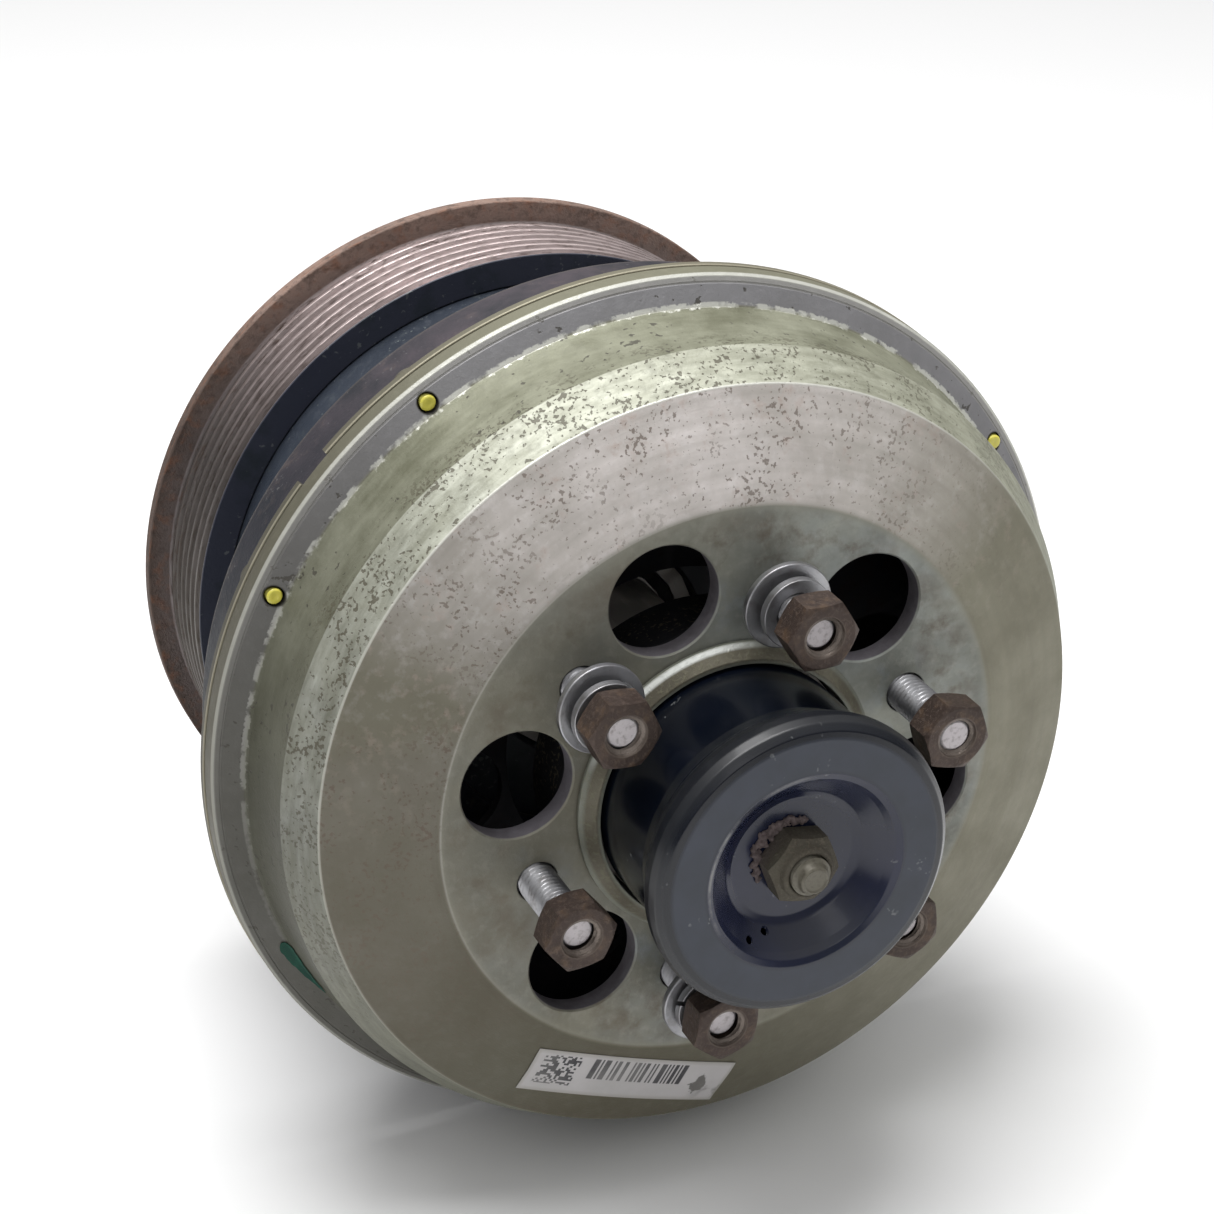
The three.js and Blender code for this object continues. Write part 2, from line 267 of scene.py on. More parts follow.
def squared(obj, sharpDegrees=34):
    # one material slot, crisp edges above the angle, and flat faces shaded flat
    name = obj.name
    finish = next(m for m in obj.data.materials if m)
    obj.data.materials.clear()
    obj.data.materials.append(finish)
    for polygon in obj.data.polygons:
        polygon.material_index = 0
    obj.data.shade_smooth()
    obj.data.set_sharp_from_angle(angle=math.radians(sharpDegrees))
    modifier = obj.modifiers.new("facing", "WEIGHTED_NORMAL")
    modifier.keep_sharp = True
    return settled(obj, name)


def onBody(obj, body, nodesReplaced=()):
    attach(obj, body)
    if nodesReplaced:
        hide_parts(*nodesReplaced)
    return obj


def makeGrime():
    # soft clouds, blotches five times finer and grain sixty times finer
    tree, given = newGroup("grime", "ShaderNodeTree", [("Vector", "Vector"), ("Scale", "Float")],
                           [("Cloud", "Float"), ("Blotch", "Float"), ("Grain", "Float")])
    outs = []
    for share, detail, low, high in ((1, 5, 0.35, 0.65), (5, 6, 0.5, 0.68), (60, 3, 0.3, 0.7)):
        scale = calc(tree, "MULTIPLY", given["Scale"], float(share))
        noise = put(tree, "ShaderNodeTexNoise", {
            "Vector": given["Vector"], "Scale": scale, "Detail": float(detail), "Roughness": 0.6})
        outs.append(put(tree, "ShaderNodeMapRange", {0: noise.outputs[0], 1: low, 2: high}).outputs[0])
    put(tree, "NodeGroupOutput", {k: out for k, out in enumerate(outs)})
    return tree


def makePits():
    # small specks that gather in patches
    tree, given = newGroup(
        "pits", "ShaderNodeTree", [("Vector", "Vector"), ("Scale", "Float"), ("Density", "Float")],
        [("Pits", "Float")])
    fine = put(tree, "ShaderNodeTexNoise", {
        "Vector": given["Vector"], "Scale": given["Scale"], "Detail": 2.4, "Roughness": 0.5,
        "Distortion": 0.15}).outputs[0]
    patch = put(tree, "ShaderNodeTexNoise", {
        "Vector": given["Vector"], "Scale": calc(tree, "MULTIPLY", given["Scale"], 0.11),
        "Detail": 2.0}).outputs[0]
    level = calc(tree, "ADD", fine, calc(tree, "MULTIPLY", calc(tree, "SUBTRACT", patch, 0.5), 0.45))
    limit = calc(tree, "SUBTRACT", 0.8, calc(tree, "MULTIPLY", given["Density"], 0.3))
    out = calc(tree, "MULTIPLY", calc(tree, "SUBTRACT", level, limit), 22.0, clamp=True)
    put(tree, "NodeGroupOutput", {0: out})
    return tree


def makeTurningLines():
    # lines left by a lathe, and broad bands of the same kind
    tree, given = newGroup(
        "turningLines", "ShaderNodeTree", [("Vector", "Vector"), ("Per Metre", "Float")],
        [("Lines", "Float"), ("Bands", "Float")])
    xyz = put(tree, "ShaderNodeSeparateXYZ", {0: given["Vector"]}).outputs
    flat = put(tree, "ShaderNodeCombineXYZ", {"X": xyz["X"], "Z": xyz["Z"]}).outputs[0]
    radius = put(tree, "ShaderNodeVectorMath", {0: flat}, operation="LENGTH").outputs["Value"]
    along = calc(tree, "ADD", radius, calc(tree, "MULTIPLY", xyz["Y"], 0.83))
    for k, share in enumerate((1.0, 0.12)):
        place = calc(tree, "MULTIPLY", calc(tree, "MULTIPLY", along, given["Per Metre"]), share)
        noise = put(tree, "ShaderNodeTexNoise", {"W": place, "Scale": 1.0, "Detail": 2.0},
                    noise_dimensions="1D")
        clear = put(tree, "ShaderNodeMapRange", {0: noise.outputs[0], 1: 0.3, 2: 0.7}).outputs[0]
        if k == 0:
            out = put(tree, "NodeGroupOutput")
        tree.links.new(clear, out.inputs[k])
    return tree


def makeRubbed():
    # bare metal on sharp edges
    tree, given = newGroup(
        "rubbedEdges", "ShaderNodeTree",
        [("Vector", "Vector"), ("Start", "Float"), ("Breakup", "Float")], [("Rub", "Float")])
    sharp = put(tree, "ShaderNodeNewGeometry").outputs["Pointiness"]
    noise = put(tree, "ShaderNodeTexNoise", {"Vector": given["Vector"], "Scale": 260.0, "Detail": 4.0})
    uneven = calc(tree, "MULTIPLY", calc(tree, "SUBTRACT", noise.outputs[0], 0.5), given["Breakup"])
    lifted = calc(tree, "SUBTRACT", calc(tree, "ADD", sharp, uneven), given["Start"])
    put(tree, "NodeGroupOutput", {0: calc(tree, "MULTIPLY", lifted, 14.0, clamp=True)})
    return tree


groupTrees = {
    "grime": makeGrime(), "pits": makePits(), "lines": makeTurningLines(), "rubbed": makeRubbed()}
print("node groups made:", len(groupTrees))


def grouped(tree, which, inputs):
    made = put(tree, "ShaderNodeGroup", node_tree=groupTrees[which])
    for key, value in inputs.items():
        if isinstance(value, bpy.types.NodeSocket):
            tree.links.new(value, made.inputs[key])
        else:
            made.inputs[key].default_value = value
    return made.outputs


def tint(red, green, blue):
    # display colour of 0 to 255 as the linear colour that a socket takes
    parts = [c / 255 for c in (red, green, blue)]
    return [c / 12.92 if c <= 0.04045 else ((c + 0.055) / 1.055) ** 2.4 for c in parts] + [1.0]


class Paint:
    # a material built up in layers, with x, z, radius and s of each point in mm
    def __init__(self, name, colour, roughness, metallic=0.0, coat=0.0, specular=0.5):
        self.material = bpy.data.materials.new(name)
        self.material.use_nodes = True
        self.tree = self.material.node_tree
        self.shader = self.tree.nodes["Principled BSDF"]
        self.shader.inputs["Metallic"].default_value = metallic
        self.shader.inputs["Coat Weight"].default_value = coat
        self.shader.inputs["Coat Roughness"].default_value = 0.12
        self.shader.inputs["Specular IOR Level"].default_value = specular
        self.vector = put(self.tree, "ShaderNodeTexCoord").outputs["Object"]
        xyz = put(self.tree, "ShaderNodeSeparateXYZ", {0: self.vector}).outputs
        self.x, self.z = (calc(self.tree, "MULTIPLY", xyz[k], 1000.0) for k in ("X", "Z"))
        self.s = calc(self.tree, "MULTIPLY", xyz["Y"], -1000.0)
        self.r = self.maths("SQRT", self.maths("ADD", self.maths("POWER", self.x, 2.0),
                                               self.maths("POWER", self.z, 2.0)))
        self.colour = put(self.tree, "ShaderNodeRGB").outputs[0]
        self.colour.default_value = tint(*colour)
        self.rough = roughness
        self.metal = None
        self.height = None

    def maths(self, operation, a, b=0.0, clamp=False):
        return calc(self.tree, operation, a, b, clamp)

    def group(self, which, **inputs):
        values = {"Vector": self.vector}
        values.update({key.replace("_", " "): value for key, value in inputs.items()})
        return grouped(self.tree, which, values)

    def stretched(self, x, y, z):
        return put(self.tree, "ShaderNodeVectorMath", {0: self.vector, 1: (x, y, z)},
                   operation="MULTIPLY").outputs[0]

    def ramp(self, value, low, high):
        return put(self.tree, "ShaderNodeMapRange", {0: value, 1: low, 2: high}).outputs[0]

    def zone(self, value, low, high, soft=0.15):
        rise = self.ramp(value, low - soft, low + soft)
        fall = self.ramp(value, high - soft, high + soft)
        return self.maths("MULTIPLY", rise, self.maths("SUBTRACT", 1.0, fall))

    def towards(self, degrees, low, high):
        # 1 on the side of the part that lies at this angle about the axis
        a = math.radians(degrees)
        side = self.maths("ADD", self.maths("MULTIPLY", self.x, math.cos(a)),
                          self.maths("MULTIPLY", self.z, math.sin(a)))
        return self.ramp(self.maths("DIVIDE", side, self.maths("ADD", self.r, 0.5)), low, high)

    def nearest(self, circle, angles):
        # distance in mm from the closest of some axes set on a circle
        closest = None
        for angle in angles:
            c = polar(circle, angle) * 1000
            dx, dz = (self.maths("POWER", self.maths("SUBTRACT", have, there), 2.0)
                      for have, there in ((self.x, c.x), (self.z, c.z)))
            away = self.maths("SQRT", self.maths("ADD", dx, dz))
            closest = away if closest is None else self.maths("MINIMUM", closest, away)
        return closest

    def every(self, *masks):
        result = masks[0]
        for mask in masks[1:]:
            result = self.maths("MULTIPLY", result, mask)
        return result

    def layer(self, mask, colour, share=1.0):
        if share != 1.0:
            mask = self.maths("MULTIPLY", mask, share)
        values = {0: mask, 6: self.colour, 7: tint(*colour)}
        self.colour = put(self.tree, "ShaderNodeMix", values, data_type="RGBA").outputs[2]

    def roughen(self, mask, amount):
        self.rough = self.maths("ADD", self.rough, self.maths("MULTIPLY", mask, amount))

    def dull(self, mask, amount):
        # takes metal away where paint, rust or dirt lies
        start = self.shader.inputs["Metallic"].default_value if self.metal is None else self.metal
        self.metal = self.maths("MULTIPLY", start, self.maths(
            "SUBTRACT", 1.0, self.maths("MULTIPLY", mask, amount)))

    def raised(self, mask, amount):
        # amount in mm
        part = self.maths("MULTIPLY", mask, amount)
        self.height = part if self.height is None else self.maths("ADD", self.height, part)

    def done(self):
        inputs = self.shader.inputs
        self.tree.links.new(self.colour, inputs["Base Color"])
        if isinstance(self.rough, float):
            inputs["Roughness"].default_value = self.rough
        else:
            self.tree.links.new(self.maths("ADD", self.rough, 0.0, clamp=True), inputs["Roughness"])
        if self.metal is not None:
            self.tree.links.new(self.metal, inputs["Metallic"])
        if self.height is not None:
            bump = put(self.tree, "ShaderNodeBump", {
                "Height": self.height, "Distance": mm, "Strength": 1.0})
            self.tree.links.new(bump.outputs[0], inputs["Normal"])
        return self.material


# where the openings, studs and pins sit about the axis, in mm and degrees
ventCircle = 45.1
ventAngles = evenly(6, 47.3, -60)
studCircle = 42
studAngles = evenly(6, 77.2, -60)
pinCircle = 91
pinAngles = [122, 152, 242, 272, 2, 32]

castLook = {
    # bands of the drum along its axis, and circles on its face, in mm
    "annulus": (105.15, 107.35), "wall": (107.5, 123.4), "bevel": (123.4, 132.1), "face": (131.9, 132.4),
    "coneEdge": (59.6, 60.6), "innerEdge": (58.5, 60.2), "innerLine": (59.7, 60.1), "rear": (104.9, 104.5),
    "vents": (33.0, 57.2), "ventDepth": (130.0, 138.75), "insideRadius": 80.2, "studBand": (34.0, 47.0),
    "stainBand": (46.0, 58.0), "rimEdge": (104.6, 105.15), "rimRadius": (93.1, 94.3),
    "ridge": (88.6, 89.5), "ridgeS": (106.8, 108.2), "faceEdge": (81.7, 82.05), "pinRing": (2.3, 2.05),
    # the sides that differ, with painted highlights and shade, in degrees about the axis
    "left": 150, "top": 100, "lowLeft": 215,
    # colours of the metal, and of painted highlights and shade on it
    "bare": (136, 134, 120), "annulusGrey": (140, 139, 142), "wallOlive": (124, 125, 106),
    "bevelGrey": (160, 161, 144), "bevelHighlight": (204, 208, 204), "bevelTopHighlight": (196, 197, 180),
    "coneGrey": (134, 131, 114), "conePaintedShade": (104, 101, 88), "conePaintedSheen": (158, 156, 158),
    "coneTopHighlight": (226, 219, 216), "innerGrey": (132, 130, 116), "innerPaintedLight": (164, 167, 158),
    "innerCool": (134, 142, 146), "ventSkin": (118, 114, 120), "ventShade": (74, 70, 72),
    "insidePaintedShade": (15, 15, 19), "worn": (216, 216, 208), "rimHighlight": (176, 174, 168),
    # colours of what lies on it, and of painted shade
    "olive": (98, 98, 76), "darkOlive": (90, 90, 70), "deepOlive": (84, 84, 64), "paleOlive": (196, 197, 178),
    "innerDirt": (92, 92, 80), "innerWear": (160, 160, 150), "coneDirt": (104, 100, 84),
    "coneWear": (236, 232, 234), "ochreAndShade": (96, 84, 60), "annulusDirt": (112, 111, 112),
    "zincBlue": (150, 160, 168), "brown": (84, 66, 50), "dust": (114, 110, 96), "bandDirt": (108, 104, 90),
    "sidePaintedShade": (54, 53, 43), "annulusPaintedShade": (84, 82, 74), "coneLowPaintedShade": (64, 61, 48),
    "rearDust": (112, 110, 90), "rearPaintedShade": (70, 66, 56), "rust": (150, 122, 104),
    "bevelPit": (72, 66, 50), "bandPit": (58, 54, 46), "freckle": (96, 82, 70), "pinRingDark": (34, 32, 24)}


def castAluminium():
    z = castLook
    p = Paint("castAluminium", z["bare"], 0.5, metallic=0.3)
    grime = p.group("grime", Scale=22.0)
    mottle = p.group("grime", Scale=85.0)
    streaks = p.group("grime", Vector=p.stretched(1.0, 7.0, 1.0), Scale=40.0)
    lines = p.group("lines", Per_Metre=2600.0)
    front = p.ramp(p.s, *z["face"])
    left = p.towards(z["left"], 0.1, 0.95)
    top = p.towards(z["top"], 0.15, 0.98)
    lowLeft = p.towards(z["lowLeft"], 0.2, 0.9)
    # bands from the back rim to the face
    annulus = p.zone(p.s, *z["annulus"], 0.1)
    wall = p.zone(p.s, *z["wall"])
    bevel = p.zone(p.s, *z["bevel"])
    sides = p.maths("ADD", wall, bevel, clamp=True)
    p.layer(annulus, z["annulusGrey"])
    p.layer(wall, z["wallOlive"])
    p.layer(bevel, z["bevelGrey"])
    # painted highlights on the upper left and on the top of the bevel
    p.layer(p.every(bevel, p.towards(140, 0.3, 0.9)), z["bevelHighlight"], 0.8)
    p.layer(p.every(bevel, top), z["bevelTopHighlight"], 0.7)
    cone = p.maths("MULTIPLY", front, p.ramp(p.r, *z["coneEdge"]))
    inner = p.every(front, p.maths("SUBTRACT", 1.0, p.ramp(p.r, *z["innerEdge"])))
    p.layer(cone, z["coneGrey"])
    # painted shade on the left of the cone, painted sheen in cool patches on its left, and a painted
    # highlight on its top
    p.layer(p.every(cone, p.towards(180, -0.2, 0.8)), z["conePaintedShade"], 0.75)
    p.layer(p.every(cone, left, p.ramp(grime["Cloud"], 0.2, 1.0)), z["conePaintedSheen"], 0.5)
    p.layer(p.every(cone, p.towards(93, 0.5, 1.0)), z["coneTopHighlight"], 0.9)
    p.layer(inner, z["innerGrey"])
    # painted light on the upper right of the inner face
    p.layer(p.every(inner, p.towards(50, -0.5, 0.9)), z["innerPaintedLight"], 0.7)
    p.layer(p.every(inner, p.ramp(grime["Cloud"], 0.3, 0.9)), z["innerCool"], 0.5)
    # mottling: dark olive and pale patches, drawn out round the sides
    p.layer(p.every(sides, streaks["Cloud"]), z["olive"], 0.45)
    fine = p.group("grime", Vector=p.stretched(1.0, 4.0, 1.0), Scale=170.0)
    p.layer(p.every(sides, fine["Cloud"]), z["darkOlive"], 0.5)
    p.layer(p.every(sides, mottle["Blotch"]), z["deepOlive"], 0.3)
    p.layer(p.every(sides, mottle["Cloud"]), z["paleOlive"], 0.28)
    p.layer(p.every(inner, mottle["Cloud"]), z["innerDirt"], 0.45)
    p.layer(p.every(inner, mottle["Blotch"]), z["innerWear"], 0.3)
    p.layer(p.every(cone, mottle["Cloud"]), z["coneDirt"], 0.32)
    p.layer(p.every(cone, mottle["Blotch"], top), z["coneWear"], 0.16)
    # brown on the lower left of the cone: stain in patches, with painted shade
    p.layer(p.every(cone, lowLeft, grime["Cloud"]), z["ochreAndShade"], 0.5)
    p.layer(p.every(annulus, mottle["Cloud"]), z["annulusDirt"], 0.35)
    # zinc blue by the studs, brown stains by the openings
    p.layer(p.every(inner, p.zone(p.r, *z["studBand"], 3.0), grime["Blotch"]), z["zincBlue"], 0.5)
    patches = p.maths("MAXIMUM", grime["Blotch"], streaks["Blotch"])
    p.layer(p.every(inner, p.zone(p.r, *z["stainBand"], 3.0), patches), z["brown"], 0.6)
    # painted shade on the left of the inner face, and a painted highlight on its edge line at the upper left
    p.layer(p.every(inner, p.towards(168, -0.1, 0.8)), z["dust"], 0.55)
    innerLine = p.zone(p.r, *z["innerLine"], 0.12)
    p.layer(p.every(innerLine, front, p.towards(150, 0.0, 0.9)), z["rimHighlight"], 0.5)
    p.layer(p.every(lines["Bands"], cone), z["bandDirt"], 0.2)
    # painted shade below and on the left, and dust on the back rim
    rearward = p.ramp(p.s, 132.2, 131.8)
    behind = p.maths("SUBTRACT", rearward, p.maths("MULTIPLY", bevel, 0.3))
    p.layer(p.every(p.towards(z["lowLeft"], -0.1, 0.8), behind), z["sidePaintedShade"], 0.8)
    p.layer(p.every(annulus, p.towards(200, 0.0, 0.9)), z["annulusPaintedShade"], 0.5)
    p.layer(p.every(p.towards(245, -0.1, 0.9), cone), z["coneLowPaintedShade"], 0.52)
    rear = p.ramp(p.s, *z["rear"])
    p.layer(rear, z["rearDust"], 0.7)
    p.layer(p.every(rear, p.towards(185, 0.2, 0.9)), z["rearPaintedShade"], 0.7)
    # the walls of the openings keep their cast skin, and the inside of the drum is painted near black as
    # shade
    vents = p.every(p.zone(p.r, *z["vents"], 0.3), p.zone(p.s, *z["ventDepth"], 0.1))
    p.layer(vents, z["ventSkin"])
    p.layer(p.every(vents, mottle["Cloud"]), z["ventShade"], 0.7)
    skin = p.maths("MINIMUM", p.maths("SUBTRACT", 159.6, p.maths("MULTIPLY", p.r, 0.353)), 134.75)
    inside = p.every(p.maths("LESS_THAN", p.r, z["insideRadius"]), p.maths("LESS_THAN", p.s, skin))
    p.layer(inside, z["insidePaintedShade"])
    # pits: dense on the bevel, larger and rarer behind it
    small = p.group("pits", Scale=1100.0, Density=0.7)["Pits"]
    large = p.group("pits", Scale=620.0, Density=0.44)["Pits"]
    freckles = p.group("pits", Scale=1150.0, Density=0.62)["Pits"]
    upper = p.maths("MAXIMUM", left, top)
    pitted = p.maths("MAXIMUM", bevel, p.every(wall, p.ramp(p.s, 116.0, 123.0)))
    bevelPits = p.every(small, pitted, upper)
    p.layer(bevelPits, z["bevelPit"], 0.8)
    bandPits = p.every(large, p.maths("ADD", annulus, wall, clamp=True))
    p.layer(bandPits, z["bandPit"], 0.8)
    rusted = p.every(cone, top, p.ramp(grime["Blotch"], 0.0, 0.5))
    p.layer(p.every(rusted, mottle["Blotch"]), z["rust"], 0.5)
    facePits = p.every(freckles, cone, upper, p.ramp(grime["Cloud"], 0.0, 0.5))
    p.layer(facePits, z["freckle"], 0.7)
    # pale edges, chipped along the ridge: painted highlights with some wear, fading towards the shaded side
    chips = p.group("grime", Scale=150.0)
    ragged = p.maths("MULTIPLY", p.maths("SUBTRACT", chips["Blotch"], 0.5), 0.45)
    ridgeR = p.maths("ADD", p.r, ragged)
    rimEdge = p.every(p.zone(p.s, *z["rimEdge"], 0.08), p.ramp(p.r, 93.9, 94.2))
    rimBand = p.every(p.zone(p.r, *z["rimRadius"], 0.12), annulus)
    ridge = p.every(p.zone(ridgeR, *z["ridge"], 0.12), p.zone(p.s, *z["ridgeS"], 0.1),
                    p.ramp(chips["Cloud"], 0.25, 0.5), p.ramp(p.towards(235, -0.2, 1.0), 1.0, 0.2))
    faceEdge = p.every(p.zone(p.r, *z["faceEdge"], 0.08), p.ramp(p.s, 131.8, 132.0), upper)
    edgeWearAndHighlight = p.maths("MAXIMUM", p.maths("MAXIMUM", rimEdge, ridge), faceEdge)
    shaded = p.towards(205, -0.2, 1.0)
    p.layer(p.every(rimBand, p.ramp(shaded, 1.1, 0.1)), z["rimHighlight"], 0.5)
    # the pale edge colour is painted highlight with some wear
    p.layer(p.every(edgeWearAndHighlight, p.ramp(shaded, 1.35, 0.2)), z["worn"], 0.8)
    # dark rings round the pins
    away = p.nearest(pinCircle, pinAngles)
    pinRings = p.maths("MULTIPLY", p.ramp(away, *z["pinRing"]), p.ramp(p.s, 104.0, 104.5))
    p.layer(pinRings, z["pinRingDark"], 0.85)
    allPits = p.maths("ADD", bevelPits, bandPits, clamp=True)
    p.dull(p.maths("MAXIMUM", allPits, mottle["Blotch"]), 0.6)
    p.roughen(mottle["Cloud"], 0.14)
    p.roughen(edgeWearAndHighlight, -0.15)
    p.roughen(p.maths("ADD", vents, inside, clamp=True), 0.25)
    p.raised(p.maths("ADD", bevelPits, bandPits), -0.07)
    p.raised(p.every(lines["Lines"], p.maths("MAXIMUM", cone, wall)), 0.008)
    p.raised(mottle["Blotch"], 0.03)
    p.raised(grime["Grain"], 0.025)
    return p.done()


def ringMetal():
    p = Paint("ringMetal", (128, 124, 106), 0.5, metallic=0.5)
    grime = p.group("grime", Scale=30.0)
    p.layer(grime["Blotch"], (92, 78, 60), 0.5)
    p.layer(p.ramp(p.s, 98.2, 97.2), (96, 92, 84), 0.6)
    p.layer(grime["Cloud"], (110, 108, 96), 0.4)
    # painted shade on the left side
    p.layer(p.towards(190, 0.0, 0.9), (60, 57, 50), 0.75)
    p.layer(p.every(p.ramp(p.r, 94.6, 94.9), p.zone(p.s, 100.0, 100.6, 0.1)), (176, 170, 150), 0.6)
    p.dull(grime["Blotch"], 0.6)
    p.roughen(grime["Cloud"], 0.15)
    p.raised(grime["Grain"], 0.03)
    return p.done()


def pulleySteel():
    p = Paint("pulleySteel", (138, 130, 130), 0.38, metallic=0.75)
    grime = p.group("grime", Scale=26.0)
    streaks = p.group("grime", Vector=p.stretched(1.0, 9.0, 1.0), Scale=60.0)
    lines = p.group("lines", Per_Metre=5200.0)
    rear = p.ramp(p.s, 9.75, 9.6)
    deep = p.ramp(p.r, 76.0, 74.4)
    ribs = p.zone(p.s, 9.8, 33.6)
    top = p.towards(97, 0.55, 1.0)
    # painted highlight on the top of the ribs
    p.layer(p.every(top, ribs), (226, 208, 206), 0.85)
    p.layer(p.every(deep, ribs), (72, 62, 58), 0.85)
    p.layer(p.every(streaks["Cloud"], ribs), (92, 82, 80), 0.55)
    p.layer(p.every(streaks["Blotch"], ribs), (78, 60, 52), 0.6)
    # painted highlight along the turning lines on the top, and painted shade on the left of the ribs
    p.layer(p.every(lines["Lines"], ribs, top), (240, 224, 222), 0.35)
    p.layer(p.every(p.towards(205, -0.15, 0.9), ribs), (64, 62, 54), 0.7)
    rusty = p.maths("MAXIMUM", rear, p.every(ribs, streaks["Blotch"], p.ramp(p.s, 18.0, 11.0)))
    p.layer(rusty, (92, 76, 68))
    # painted highlight on the top of the rear flange
    p.layer(p.every(rear, top), (188, 160, 146), 0.8)
    p.layer(p.every(rear, grime["Cloud"]), (58, 48, 43), 0.65)
    p.layer(p.every(rear, streaks["Blotch"]), (136, 88, 60), 0.6)
    p.layer(p.every(rear, p.group("grime", Scale=110.0)["Blotch"]), (52, 43, 39), 0.6)
    front = p.maths("MAXIMUM", p.ramp(p.s, 33.5, 33.7), p.ramp(p.r, 72.6, 72.0))
    p.layer(front, (50, 53, 66))
    p.layer(p.every(front, grime["Blotch"]), (30, 40, 42), 0.6)
    scuffs = p.every(front, p.group("pits", Scale=700.0, Density=0.42)["Pits"])
    p.layer(scuffs, (112, 116, 114), 0.5)
    p.dull(p.maths("MAXIMUM", rusty, front), 0.75)
    p.roughen(rusty, 0.3)
    p.roughen(p.every(deep, ribs), 0.2)
    p.roughen(streaks["Cloud"], 0.14)
    p.raised(p.every(grime["Grain"], rusty), 0.08)
    p.raised(streaks["Blotch"], 0.04)
    p.raised(grime["Grain"], 0.015)
    return p.done()


def rotorPaint():
    p = Paint("rotorPaint", (56, 62, 72), 0.42, metallic=0.1)
    grime = p.group("grime", Scale=24.0)
    mottle = p.group("grime", Scale=90.0)
    p.layer(grime["Cloud"], (26, 32, 44), 0.6)
    p.layer(p.every(mottle["Blotch"], grime["Blotch"]), (66, 74, 72), 0.4)
    scuffs = p.every(p.group("pits", Scale=800.0, Density=0.46)["Pits"], p.towards(170, -0.3, 0.8))
    p.layer(scuffs, (132, 138, 136), 0.55)
    p.layer(p.zone(p.s, 74.4, 75.2, 0.1), (78, 74, 72), 0.5)
    p.roughen(mottle["Blotch"], 0.25)
    p.raised(grime["Grain"], 0.03)
    return p.done()


def armatureSteel():
    p = Paint("armatureSteel", (34, 36, 42), 0.55, metallic=0.15)
    grime = p.group("grime", Scale=20.0)
    mottle = p.group("grime", Scale=80.0)
    # painted shade in dark patches towards the left, and painted light in pale patches on the top
    p.layer(p.every(grime["Cloud"], p.towards(165, -0.6, 0.6)), (21, 24, 34), 0.8)
    p.layer(p.every(p.towards(100, 0.5, 1.0), mottle["Cloud"]), (84, 74, 80), 0.6)
    p.layer(p.every(mottle["Blotch"], grime["Blotch"]), (96, 82, 74), 0.4)
    p.layer(p.zone(p.s, 75.9, 77.2, 0.3), (84, 78, 74), 0.5)
    scuffs = p.group("pits", Scale=900.0, Density=0.36)["Pits"]
    p.layer(scuffs, (112, 112, 112), 0.4)
    p.dull(grime["Blotch"], 0.7)
    p.roughen(mottle["Cloud"], 0.15)
    p.raised(mottle["Blotch"], 0.05)
    p.raised(grime["Grain"], 0.035)
    return p.done()


def carrierSteel():
    # near black: dark paint, with painted shade, as the plate lies deep inside the drum
    p = Paint("carrierSteel", (20, 20, 25), 0.75, metallic=0.1, specular=0.3)
    grime = p.group("grime", Scale=28.0)
    p.layer(grime["Cloud"], (13, 13, 17), 0.6)
    p.layer(grime["Blotch"], (38, 28, 25), 0.6)
    p.layer(p.group("rubbed", Start=0.53, Breakup=0.05)["Rub"], (48, 47, 50), 0.5)
    p.roughen(grime["Blotch"], 0.2)
    p.raised(grime["Grain"], 0.03)
    return p.done()


def zincPlate():
    p = Paint("zincPlate", (168, 168, 170), 0.3, metallic=0.9)
    grime = p.group("grime", Scale=60.0)
    p.layer(grime["Cloud"], (126, 126, 132), 0.6)
    p.layer(grime["Blotch"], (96, 90, 84), 0.45)
    # the cut end of a stud is pale and dull
    end = p.ramp(p.s, 158.4, 158.75)
    p.layer(end, (216, 210, 212), 0.9)
    p.layer(p.every(end, p.group("grime", Scale=180.0)["Blotch"]), (150, 142, 142), 0.7)
    p.dull(end, 0.6)
    p.roughen(end, 0.3)
    p.roughen(grime["Cloud"], 0.2)
    p.raised(grime["Grain"], 0.012)
    return p.done()


def nutBronze():
    p = Paint("nutBronze", (74, 62, 56), 0.36, metallic=0.55)
    grime = p.group("grime", Scale=70.0)
    mottle = p.group("grime", Scale=260.0)
    p.layer(grime["Cloud"], (52, 42, 38), 0.65)
    p.layer(grime["Blotch"], (98, 74, 48), 0.4)
    p.layer(mottle["Blotch"], (112, 96, 86), 0.3)
    away = p.nearest(studCircle, studAngles)
    thread = p.every(p.ramp(away, 4.1, 3.95), p.ramp(p.s, 156.0, 157.0))
    p.layer(thread, (124, 114, 106), 0.85)
    p.roughen(thread, -0.14)
    p.layer(p.every(p.zone(away, 4.0, 4.4, 0.1), p.ramp(p.s, 159.0, 159.5)), (104, 94, 86), 0.6)
    p.dull(grime["Blotch"], 0.6)
    p.roughen(grime["Cloud"], 0.12)
    p.roughen(mottle["Cloud"], 0.1)
    p.raised(mottle["Blotch"], 0.05)
    p.raised(grime["Grain"], 0.02)
    return p.done()


